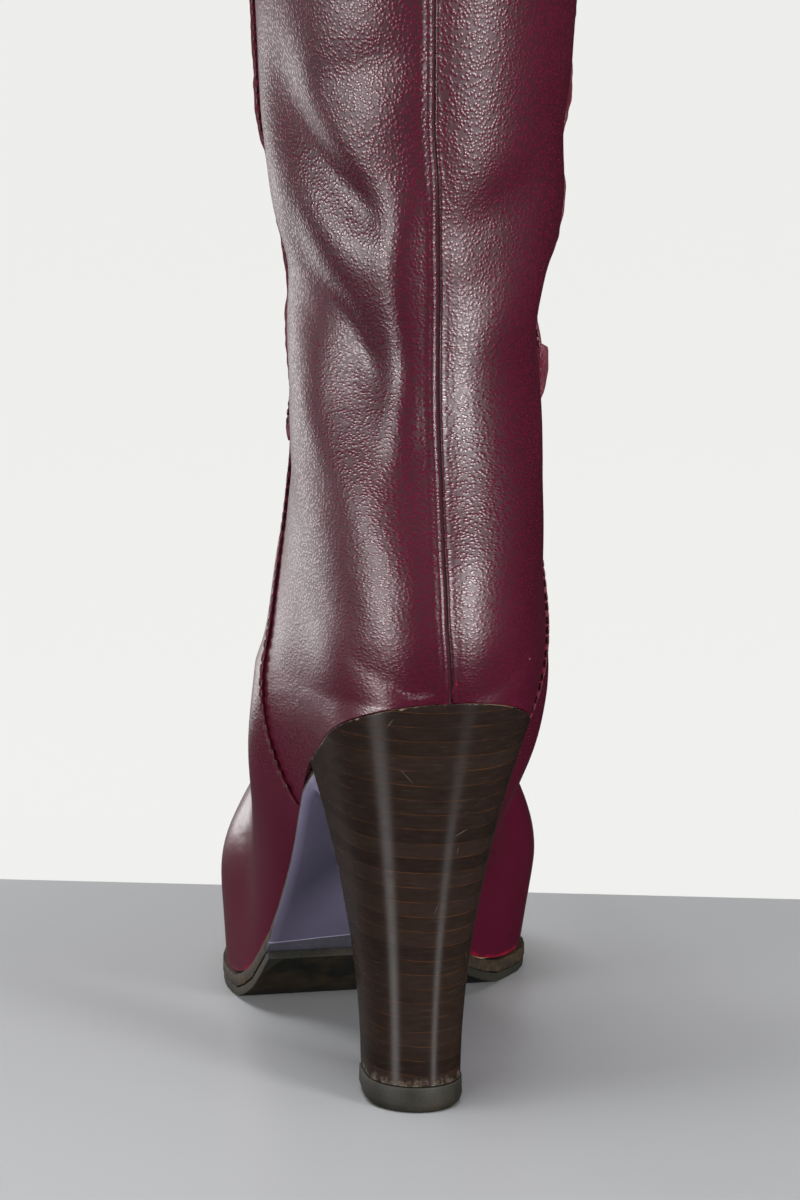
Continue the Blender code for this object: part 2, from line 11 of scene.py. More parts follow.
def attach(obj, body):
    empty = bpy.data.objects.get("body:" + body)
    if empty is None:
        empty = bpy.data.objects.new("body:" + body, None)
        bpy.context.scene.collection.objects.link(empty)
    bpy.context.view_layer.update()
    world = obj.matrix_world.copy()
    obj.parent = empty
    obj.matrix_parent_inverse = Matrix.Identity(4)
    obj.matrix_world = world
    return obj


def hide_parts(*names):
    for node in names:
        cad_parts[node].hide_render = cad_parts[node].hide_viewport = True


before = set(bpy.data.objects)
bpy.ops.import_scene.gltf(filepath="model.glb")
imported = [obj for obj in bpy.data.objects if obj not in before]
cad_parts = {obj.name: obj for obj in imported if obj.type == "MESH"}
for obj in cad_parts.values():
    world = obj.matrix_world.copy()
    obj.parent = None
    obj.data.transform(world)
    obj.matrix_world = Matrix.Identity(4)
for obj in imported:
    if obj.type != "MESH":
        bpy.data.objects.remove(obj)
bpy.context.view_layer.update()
bpy.ops.object.select_all(action="DESELECT")
print("frame loaded:", ", ".join(sorted(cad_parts)))

mm = 0.001
shaftAxis = (0.2, 57.1)  # where the shaft stands in plan
seatBack = 103.1  # y of the back of the heel seat; "along" runs forward from there
seatHeight = 103.0


def linear(hexColour):
    channels = [int(hexColour[i : i + 2], 16) / 255 for i in (1, 3, 5)]
    return [c / 12.92 if c <= 0.04045 else ((c + 0.055) / 1.055) ** 2.4 for c in channels] + [1.0]


# node settings that the materials share
eased = {"interpolation_type": "SMOOTHSTEP"}
inColour = {"data_type": "RGBA"}
multiply = {"operation": "MULTIPLY"}
multiplyAdd = {"operation": "MULTIPLY_ADD"}


def setInputs(tree, node, inputs):
    # inputs go by name, or in a row by the node's own order, which for a range is value, from, from, to, to;
    # a socket is linked, a node by the first output that it uses, and anything else is a fixed value
    if isinstance(inputs, tuple):
        inputs = dict(enumerate(inputs))
    for name, value in inputs.items():
        if isinstance(value, bpy.types.Node):
            value = next(socket for socket in value.outputs if socket.enabled)
        if isinstance(value, bpy.types.NodeSocket):
            tree.links.new(value, node.inputs[name])
        else:
            node.inputs[name].default_value = value


def addNode(tree, kind, settings=None, inputs=None):
    node = tree.nodes.new("ShaderNode" + kind)
    for name, value in (settings or {}).items():
        setattr(node, name, value)
    setInputs(tree, node, inputs or {})
    return node


def newMaterial(name, constants):
    material = bpy.data.materials.new(name)
    material.use_nodes = True
    tree = material.node_tree
    shader = tree.nodes["Principled BSDF"]
    setInputs(tree, shader, constants)
    return material, tree, shader


def strokeAway(tree, vector, across, up, turn, length, width):
    # distance from the middle of a scratch on the back of the boot, 1 at its outline
    turned = addNode(
        tree, "Mapping", {"vector_type": "TEXTURE"},
        {
            "Vector": vector, "Location": (across * mm, 0, up * mm), "Rotation": (0, math.radians(turn), 0),
            "Scale": (length / 2 * mm, 1, width / 2 * mm),
        },
    )
    flat = addNode(tree, "VectorMath", multiply, (turned, (1, 0, 1)))
    return addNode(tree, "VectorMath", {"operation": "LENGTH"}, (flat,))


def makeActive(piece):
    bpy.ops.object.select_all(action="DESELECT")
    piece.select_set(True)
    bpy.context.view_layer.objects.active = piece


def copyNode(node, name):
    piece = bpy.data.objects.new(name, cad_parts[node].data.copy())
    bpy.context.scene.collection.objects.link(piece)
    piece.data.materials.clear()
    makeActive(piece)
    bpy.ops.mesh.customdata_custom_splitnormals_clear()
    bpy.ops.object.mode_set(mode="EDIT")
    bpy.ops.mesh.select_all(action="SELECT")
    bpy.ops.mesh.remove_doubles(threshold=0.01 * mm)
    bpy.ops.mesh.tris_convert_to_quads(
        face_threshold=math.radians(60), shape_threshold=math.radians(80), topology_influence=1.0
    )
    bpy.ops.object.mode_set(mode="OBJECT")
    bpy.ops.object.shade_smooth()
    return piece


def newMesh(name, points, faces):
    mesh = bpy.data.meshes.new(name)
    mesh.from_pydata(points, [], faces)
    piece = bpy.data.objects.new(name, mesh)
    bpy.context.scene.collection.objects.link(piece)
    makeActive(piece)
    bpy.ops.object.mode_set(mode="EDIT")
    bpy.ops.mesh.select_all(action="SELECT")
    bpy.ops.mesh.normals_make_consistent(inside=False)
    bpy.ops.object.mode_set(mode="OBJECT")
    bpy.ops.object.shade_smooth()
    return piece


def applyModifier(piece, kind, **settings):
    makeActive(piece)
    modifier = piece.modifiers.new(kind.lower(), kind)
    for name, value in settings.items():
        setattr(modifier, name, value)
    bpy.ops.object.modifier_apply(modifier=modifier.name)


def points(piece):
    flat = np.empty(len(piece.data.vertices) * 3)
    piece.data.vertices.foreach_get("co", flat)
    return flat.reshape(-1, 3) / mm


def setPoints(piece, places):
    piece.data.vertices.foreach_set("co", (places * mm).ravel())
    piece.data.update()


def outward(piece):
    flat = np.empty(len(piece.data.vertices) * 3)
    piece.data.vertex_normals.foreach_get("vector", flat)
    return flat.reshape(-1, 3)


def keepValue(piece, name, values):
    attribute = piece.data.attributes.new(name, "FLOAT", "POINT")
    attribute.data.foreach_set("value", np.asarray(values, dtype=np.float32))


def editEdges(piece):
    # goes into edit mode with no edge selected
    makeActive(piece)
    bpy.context.tool_settings.mesh_select_mode = (False, True, False)
    bpy.ops.object.mode_set(mode="EDIT")
    bpy.ops.mesh.select_all(action="DESELECT")


def pickEdges(piece, wanted):
    # goes into edit mode with only the edges selected whose numbers are wanted
    editEdges(piece)
    bpy.ops.object.mode_set(mode="OBJECT")
    flags = np.zeros(len(piece.data.edges), dtype=bool)
    flags[wanted] = True
    piece.data.edges.foreach_set("select", flags)
    bpy.ops.object.mode_set(mode="EDIT")


def subdivideEdges(piece, wanted, cuts):
    pickEdges(piece, wanted)
    bpy.ops.mesh.subdivide(number_cuts=cuts)
    bpy.ops.object.mode_set(mode="OBJECT")


def edgeEnds(piece):
    flat = np.empty(len(piece.data.edges) * 2, dtype=int)
    piece.data.edges.foreach_get("vertices", flat)
    return flat.reshape(-1, 2)


def softenEdges(piece, angle, width, segments):
    # bevels the sharp edges, and gives marks along them, from which the wear is measured
    editEdges(piece)
    bpy.ops.mesh.edges_select_sharp(sharpness=math.radians(angle))
    bpy.ops.object.mode_set(mode="OBJECT")
    sharp = [edge.vertices[:] for edge in piece.data.edges if edge.select]
    corners = points(piece)
    bpy.ops.object.mode_set(mode="EDIT")
    bpy.ops.mesh.bevel(offset=width * mm, segments=segments, affect="EDGES", clamp_overlap=True)
    bpy.ops.object.mode_set(mode="OBJECT")
    marks = []
    for first, second in sharp:
        steps = max(2, int(np.linalg.norm(corners[second] - corners[first])))
        marks += [corners[first] + (corners[second] - corners[first]) * i / steps for i in range(steps + 1)]
    return marks


def keepEdgeDistance(piece, marks):
    tree = kdtree.KDTree(len(marks))
    for number, mark in enumerate(marks):
        tree.insert(mark, number)
    tree.balance()
    keepValue(piece, "edgeAway", [tree.find(place)[2] for place in points(piece)])


def dress(piece, material, node=None):
    piece.data.materials.append(material)
    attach(piece, "root")
    if node:
        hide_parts(node)
    print("made", piece.name, len(piece.data.polygons), "faces")


def runAlong(places):
    # how far along a line of places each of them lies
    return np.concatenate([[0], np.cumsum(np.linalg.norm(np.diff(places, axis=0), axis=1))])


def smoothLine(stops, count):
    # evenly spaced places on a smooth curve through the stops
    stops = np.array(stops, dtype=float)
    padded = np.vstack([2 * stops[0] - stops[1], stops, 2 * stops[-1] - stops[-2]])
    fine = []
    for i in range(len(stops) - 1):
        before, start, end, after = padded[i : i + 4]
        for t in np.linspace(0, 1, 40, endpoint=False):
            bend = (2 * before - 5 * start + 4 * end - after) * t * t
            twist = (3 * start - before - 3 * end + after) * t**3
            fine.append(0.5 * (2 * start + (end - before) * t + bend + twist))
    fine = np.array(fine + [stops[-1]])
    run = runAlong(fine)
    even = np.linspace(0, run[-1], count)
    return np.column_stack([np.interp(even, run, fine[:, k]) for k in range(fine.shape[1])])


def blendStep(values, low, high):
    share = np.clip((values - low) / (high - low), 0, 1)
    return share * share * (3 - 2 * share)


# Camera at the photograph's angle, turned a little so that the one boot stands in the frame
cameraSetup = {
    "place": (0.21445, 0.9998, 0.272),  # metres
    "turn": (81.2, 0.0, 167.38),
    "lens": 117.0,
    "sensor": 36.0,
}


def setCamera(setup):
    bpy.ops.object.camera_add(location=setup["place"], rotation=[math.radians(a) for a in setup["turn"]])
    camera = bpy.context.object
    camera.data.lens = setup["lens"]
    camera.data.sensor_width = setup["sensor"]
    camera.data.clip_start = 0.01
    bpy.context.scene.camera = camera


# Stage: a grey board under the boot and a white sheet lying behind it, both flat on the floor
stageSetup = {
    "sheetEdge": -0.152,  # metres, where the board ends and the white sheet starts
    "turn": -19.0,  # degrees, so that the edge lies nearly level in the picture
    "reach": 900.0,
    "board": "#b5b6b8",
    "sheet": "#f2f2f0",
    "sheetGlow": 0.96,
    "lights": (
        # name, place and aim in metres, size in metres, watts
        ("sideLeft", (0.29, -0.42, 0.12), (0.02, 0.08, 0.14), (0.3, 0.24), 0.7),
        ("left", (1.6, 0.42, 0.17), (0.0, 0.05, 0.15), (0.75, 0.33), 22.0),
        ("right", (-0.87, 1.58, 0.3), (0.0, 0.05, 0.15), (0.44, 0.6), 38.0),
        ("overhead", (0.2, 0.3, 1.9), (0.0, 0.2, 0.0), (1.2, 1.2), 36.0),
    ),
    "underGlow": "#282828",  # the sheet's own colour beneath its glow
    # the room's own glow: which way it is brightest, then ranges of the cosine to that way and of the sine
    # of the height, each with the levels at its two ends
    "surround": {
        "towards": (0.35, -0.94, 0.0),
        "ahead": (0.5, 0.9, 0.06, 0.5),
        "up": (0.1, 0.5, 1.0, 0.25),
        "down": (-0.22, -0.06, 0.15, 1.0),
    },
    # the soft boxes as a polished floor mirrors them: azimuth, half width and softness, in degrees
    "mirrored": {
        "boxes": ((71.0, 2.5, 12.0), (-37.0, 1.5, 9.5)),
        "rise": (-0.52, -0.36, 0.0, 11.0),  # sines of the height, and the levels at them
        "fade": (-0.1, -0.02, 1.0, 0.0),
    },
    # a dark card on the inner side, seen only in the shine: place, height and depth
    "card": {"place": (-0.125, -0.07, 0.29), "size": (0.54, 0.36), "grey": "#1c1a1b"},
}


def buildStage(setup):
    reach, edge = setup["reach"], setup["sheetEdge"]
    sheets = (
        ("floor_board", "board", (edge + reach) / 2, reach - edge, 0.0),
        ("white_sheet", "sheet", (edge - reach) / 2, reach + edge, setup["sheetGlow"]),
    )
    for name, colour, middle, depth, glow in sheets:
        bpy.ops.mesh.primitive_plane_add(size=1, location=(0, middle, 0))
        sheet = bpy.context.object
        sheet.name = name
        sheet.scale = (2 * reach, depth, 1)
        bpy.ops.object.transform_apply(location=True, rotation=True, scale=True)
        sheet.rotation_euler = (0, 0, math.radians(setup["turn"]))
        bpy.ops.object.transform_apply(location=True, rotation=True, scale=True)
        shine = 0.0 if glow else 0.25
        finish, tree, shader = newMaterial(name, {"Roughness": 0.38, "Specular IOR Level": shine})
        tint = linear(setup[colour])
        base = linear(setup["underGlow"]) if glow else tint
        setInputs(tree, shader, {"Base Color": base, "Emission Color": tint, "Emission Strength": glow})
        sheet.data.materials.append(finish)
        sheet.visible_glossy = False  # the soft boxes alone show in the shine
    for name, place, aim, size, watts in setup["lights"]:
        turn = (Vector(aim) - Vector(place)).to_track_quat("-Z", "Y").to_euler()
        bpy.ops.object.light_add(type="AREA", location=place, rotation=turn)
        light = bpy.context.object
        light.name = name
        light.data.shape = "RECTANGLE"
        light.data.size, light.data.size_y = size
        light.data.energy = watts
        light.visible_camera = False
    finish, tree, shader = newMaterial("dark_card", {"Roughness": 0.9, "Specular IOR Level": 0.0})
    setInputs(tree, shader, {"Base Color": linear(setup["card"]["grey"])})
    place, size = setup["card"]["place"], setup["card"]["size"]
    bpy.ops.mesh.primitive_plane_add(size=1, location=place, rotation=(0, math.radians(90), 0))
    card = bpy.context.object
    card.name = "dark_card"
    card.scale = (size[0], size[1], 1)
    bpy.ops.object.transform_apply(location=True, rotation=True, scale=True)
    card.data.materials.append(finish)
    card.visible_camera = card.visible_diffuse = card.visible_shadow = False
    around = setup["surround"]
    world = bpy.data.worlds.new("studio")
    bpy.context.scene.world = world
    world.use_nodes = True
    tree = world.node_tree
    facing = addNode(tree, "TexCoord").outputs["Generated"]
    towards = addNode(tree, "VectorMath", {"operation": "DOT_PRODUCT"}, (facing, around["towards"]))
    glow = addNode(tree, "MapRange", eased, (towards, *around["ahead"]))
    parts = addNode(tree, "SeparateXYZ", None, (facing,))
    lift = parts.outputs["Z"]
    low = addNode(tree, "MapRange", eased, (lift, *around["up"]))
    under = addNode(tree, "MapRange", eased, (lift, *around["down"]))
    strength = addNode(tree, "Math", multiply, (glow, low))
    strength = addNode(tree, "Math", multiply, (strength, under))
    bearing = addNode(tree, "Math", {"operation": "ARCTAN2"}, (parts.outputs["X"], parts.outputs["Y"]))
    strips = setup["mirrored"]
    below = addNode(tree, "MapRange", eased, (lift, *strips["rise"]))
    fade = addNode(tree, "MapRange", eased, (lift, *strips["fade"]))
    below = addNode(tree, "Math", multiply, (below, fade))
    for azimuth, half, soft in strips["boxes"]:
        aside = addNode(tree, "Math", {"operation": "SUBTRACT"}, (bearing, math.radians(azimuth)))
        aside = addNode(tree, "Math", {"operation": "ABSOLUTE"}, (aside,))
        box = addNode(
            tree, "MapRange", eased, (aside, math.radians(half), math.radians(half + soft), 1.0, 0.0)
        )
        strength = addNode(tree, "Math", multiplyAdd, (box, below, strength))
    setInputs(tree, tree.nodes["Background"], {"Strength": strength, "Color": linear("#ffffff")})
    bpy.context.scene.view_settings.view_transform = "Standard"


setCamera(cameraSetup)
buildStage(stageSetup)
print("camera, stage and lights set")


# Upper: the soft folds of the shaft are placed in degrees round from the back seam towards the
# outer side and in height. A positive depth is a trough, a negative one a ridge.
upperLook = {
    "levels": 2,
    "foldRadius": 42.0,  # turns degrees into millimetres round the shaft
    "foldRow": (24, 6.0),  # hollows in the row that makes a fold, and how far each reaches along it
    "slack": (46.0, 0.55),  # size and height of the broad unevenness
    "seamStrip": 6.0,  # half width of the finer mesh along the back seam
    "seamCuts": 7,
    "slackFrom": (135, 190),  # heights between which the unevenness sets in, and eases again
    "slackEases": (590, 632),
    "footTop": 110,
    "belly": (1.6, 28.0, 15.0),  # rise, height over the sole and spread
    "bellyFrom": (60, 85),  # along, where the belly sets in and goes out
    "bellyTo": (170, 205),
    "groove": (0.55, 0.3),  # depth and width
    "outerLip": (0.55, 1.4, 1.0),  # height, distance from the groove and width
    "innerLip": (0.12, 0.8, 0.5),
    "swells": (
        # degrees, height, rise, width round the shaft, spread in height
        (36, 115, 1.7, 19, 9.5),
        (-28, 114, 1.25, 12, 9),
        (148, 116, -3.0, 16, 20),
        (100, 162, 2.2, 26, 26),
    ),
    "hem": (625.0, 0.4),  # height of the folded top edge, and how far it stands out
}
backSeam = (
    # height, how far the back seam lies to the outer side
    (100, 0.6),
    (123, 2.9),
    (139, 3.2),
    (158, 2.7),
    (200, 2.7),
    (227, 3.9),
    (241, 5.4),
    (271, 6.3),
    (340, 6.0),
    (450, 3.5),
    (640, 1.0),
)
shaftFolds = (
    # stops of (degrees, height), depth, width above and below the line
    (((88, 262), (74, 251), (64, 244), (54, 236), (40, 228), (30, 221), (18, 214)), 3.2, 13.0, 11.0),
    (((70, 248), (54, 236), (40, 228), (30, 221), (19, 214)), 0.9, 4.0, 5.0),
    (((54, 249), (45, 242), (36, 235), (27, 228), (19, 222)), -0.9, 5.0, 4.0),
    (((46, 251), (38, 253), (30, 254), (23, 256), (13, 258)), 1.4, 6.0, 6.0),
    (((88, 217), (72, 209), (55, 203), (42, 196), (34, 187), (27, 179), (17, 173)), 2.6, 12.0, 11.0),
    (((76, 211), (55, 203), (42, 196), (34, 187), (26, 179)), 0.8, 4.0, 5.0),
    (((19, 232), (18, 214), (18, 200), (17, 184), (17, 170), (19, 156)), -1.6, 6.0, 6.0),
    (((56, 181), (38, 171), (26, 159)), 0.9, 7.0, 10.0),
    (((0, 212), (-6, 216), (-17, 221), (-28, 226), (-42, 233)), 2.2, 8.0, 10.0),
    (((1, 199), (-8, 202), (-19, 207), (-36, 214)), 1.0, 7.0, 9.0),
    (((-2, 180), (-15, 183), (-32, 190)), 0.5, 7.0, 8.0),
    (((-60, 246), (-78, 236), (-98, 232)), 2.4, 7.0, 8.0),
    (((-52, 206), (-74, 199), (-100, 200)), 2.2, 7.0, 8.0),
    (((100, 236), (122, 226), (150, 222)), 2.0, 7.0, 8.0),
    (((104, 205), (130, 200), (160, 205)), 1.8, 6.0, 7.0),
    (((-130, 214), (-165, 208), (165, 212)), 1.8, 6.0, 7.0),
    (((-118, 243), (-150, 236), (-178, 240)), 1.6, 7.0, 8.0),
)
soleRise = (
    # along, height of the sole's upper edge
    (50, 80),
    (65.5, 69),
    (76, 59),
    (90, 45),
    (102, 33),
    (113.6, 22),
    (128, 13),
    (145, 10),
)
vampFolds = (
    # stops of (across, along) over the ball, depth and width
    (((-52, 148), (-30, 139), (-8, 140), (14, 147)), 0.9, 4.0),
    (((-48, 137), (-26, 128), (-6, 129), (12, 134)), 0.7, 4.0),
)


def lineDistance(places, stops):
    # nearest distance to a line of stops, and the share along it
    stops = np.array(stops, dtype=float)
    lengths = np.linalg.norm(np.diff(stops, axis=0), axis=1)
    starts = np.concatenate([[0], np.cumsum(lengths)])
    best = np.full(len(places), 1e9)
    share = np.zeros(len(places))
    for i, length in enumerate(lengths):
        way = (stops[i + 1] - stops[i]) / length
        offset = places - stops[i]
        step = np.clip(offset @ way, 0, length)
        distance = np.linalg.norm(offset - step[:, None] * way, axis=1)
        nearer = distance < best
        best = np.where(nearer, distance, best)
        share = np.where(nearer, (starts[i] + step) / starts[-1], share)
    return best, share


def turnRound(places):
    return np.degrees(np.arctan2(places[:, 0] - shaftAxis[0], places[:, 1] - shaftAxis[1]))


def seamOffset(heights):
    return np.interp(heights, [row[0] for row in backSeam], [row[1] for row in backSeam])


def findLining(piece):
    # a face belongs to the lining where the way out of it soon meets the opposite wall
    tree = BVHTree.FromObject(piece, bpy.context.evaluated_depsgraph_get())
    for face in piece.data.polygons:
        start = face.center + face.normal * 0.5 * mm
        face.material_index = 1 if tree.ray_cast(start, face.normal, 170 * mm)[0] else 0


def buildUpper(look):
    piece = copyNode("upper", "upper_leather")
    piece.data.materials.append(burgundyLeather())
    piece.data.materials.append(calfLining())
    findLining(piece)
    editEdges(piece)
    bpy.ops.mesh.edges_select_sharp(sharpness=math.radians(55))
    bpy.ops.transform.edge_crease(value=1.0)
    bpy.ops.object.mode_set(mode="OBJECT")
    applyModifier(piece, "SUBSURF", levels=look["levels"], render_levels=look["levels"])

    # finer mesh along the back seam and under the top edge
    places, ends = points(piece), edgeEnds(piece)
    way = np.abs(places[ends[:, 1]] - places[ends[:, 0]])
    inStrip = np.abs(places[:, 0] - seamOffset(places[:, 2])) < look["seamStrip"]
    inStrip &= (places[:, 1] > shaftAxis[1]) & (places[:, 2] > 100) & (outward(piece)[:, 1] > 0.2)
    level = way[:, 2] < 0.5 * way[:, 0]
    subdivideEdges(piece, np.where(inStrip[ends].all(axis=1) & level)[0], look["seamCuts"])
    places, ends = points(piece), edgeEnds(piece)
    way = np.abs(places[ends[:, 1]] - places[ends[:, 0]])
    upright = way[:, 2] > 2 * np.hypot(way[:, 0], way[:, 1])
    nearTop = places[:, 2] > look["hem"][0] - 10
    subdivideEdges(piece, np.where(nearTop[ends].all(axis=1) & upright)[0], 5)

    places, normals = points(piece), outward(piece)
    bearing, height = turnRound(places), places[:, 2]
    fromAxis = places[:, :2] - np.array(shaftAxis)
    inner = (np.einsum("ij,ij->i", normals[:, :2], fromAxis) < 0) & (height > 105)
    outwards = np.where(inner[:, None], -normals, normals)
    lift = np.zeros(len(places))

    # broad slackness, none at the stiff heel and the toe
    size, swell = look["slack"]
    slack = blendStep(height, *look["slackFrom"]) * (1 - 0.6 * blendStep(height, *look["slackEases"]))
    lumps = np.array([noise.noise(Vector(p) / size) for p in places])
    lift += swell * slack * lumps

    radius, (hollows, reach) = look["foldRadius"], look["foldRow"]
    for stops, depth, above, below in shaftFolds:
        degrees = np.unwrap([stop[0] for stop in stops], period=360)
        middle = (degrees.min() + degrees.max()) / 2
        unrolled = (bearing - middle + 180) % 360 - 180 + middle
        flat = np.column_stack([np.radians(unrolled) * radius, height])
        line = [(math.radians(d) * radius, stop[1]) for d, stop in zip(degrees, stops)]
        line = smoothLine(line, hollows)
        share = np.linspace(0, 1, hollows)
        taper = blendStep(share, 0, 0.2) * (1 - blendStep(share, 0.8, 1.0))
        step = np.linalg.norm(np.diff(line, axis=0), axis=1).mean()
        near = np.where((height > look["footTop"]) & (np.abs(height - line[:, 1].mean()) < 110))[0]
        hollow = np.zeros(len(near))
        for place, way, strength in zip(line, np.gradient(line, axis=0), taper):
            way = way / np.linalg.norm(way)
            up = np.array([-way[1], way[0]]) * (1 if way[0] > 0 else -1)
            offset = flat[near] - place
            aside = offset @ up
            width = np.where(aside > 0, above, below)
            hollow += strength * np.exp(-((offset @ way / reach) ** 2) - (aside / width) ** 2)
        lift[near] -= depth * hollow * step / (reach * math.sqrt(math.pi))

    for degrees, middle, rise, width, spread in look["swells"]:
        turned = np.radians((bearing - degrees + 180) % 360 - 180) * radius
        above = np.exp(-(((height - middle) / spread) ** 2))
        below = np.clip(1 - ((height - middle) / (middle - seatHeight)) ** 2, 0, 1)
        upright = np.where(height > middle, above, below)
        lift += rise * np.exp(-((turned / width) ** 2)) * upright * (height > seatHeight)

    # the sides of the foot belly out over the sole
    outside = np.zeros(len(places), dtype=bool)
    for face in piece.data.polygons:
        if face.material_index == 0:
            outside[list(face.vertices)] = True
    along = seatBack - places[:, 1]
    soleHeight = np.interp(along, [row[0] for row in soleRise], [row[1] for row in soleRise])
    rise, above, spread = look["belly"]
    belly = rise * np.exp(-(((height - soleHeight - above) / spread) ** 2))
    belly *= blendStep(along, *look["bellyFrom"]) * (1 - blendStep(along, *look["bellyTo"]))
    belly *= blendStep(np.abs(normals[:, 0]), 0.3, 0.8)
    lift += np.where(outside & (height < look["footTop"]), belly, 0)

    onVamp = (normals[:, 2] > 0.2) & (height < look["footTop"])
    for stops, depth, width in vampFolds:
        line = smoothLine([(across, seatBack - along) for across, along in stops], 24)
        distance, share = lineDistance(places[:, :2], line)
        taper = blendStep(share, 0, 0.3) * (1 - blendStep(share, 0.7, 1.0))
        lift -= depth * taper * np.exp(-((distance / width) ** 2)) * onVamp

    # back seam: a tight groove between two pressed lips
    away = places[:, 0] - seamOffset(height)
    atBack = (places[:, 1] > shaftAxis[1]) & ~inner & (height > 104)
    depth, width = look["groove"]
    seam = -depth * np.exp(-((away / width) ** 2))
    for side, lip in ((1, "outerLip"), (-1, "innerLip")):
        rise, distance, spread = look[lip]
        seam += rise * np.exp(-(((side * away - distance) / spread) ** 2))
    lift += np.where(atBack, seam, 0)

    hemHeight, hemRise = look["hem"]
    lift += np.where(inner, 0, hemRise * blendStep(height, hemHeight - 1.6, hemHeight + 0.4))
    setPoints(piece, places + outwards * lift[:, None])
    keepValue(piece, "seamAway", np.where(atBack, away, 99))
    sole = BVHTree.FromObject(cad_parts["outsole"], bpy.context.evaluated_depsgraph_get())
    fromSole = [sole.find_nearest(Vector(p) * mm)[3] / mm if p[2] < 60 else 99 for p in points(piece)]
    keepValue(piece, "featherAway", fromSole)
    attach(piece, "root")
    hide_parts("upper")
    print("made", piece.name, len(piece.data.polygons), "faces")
    return piece


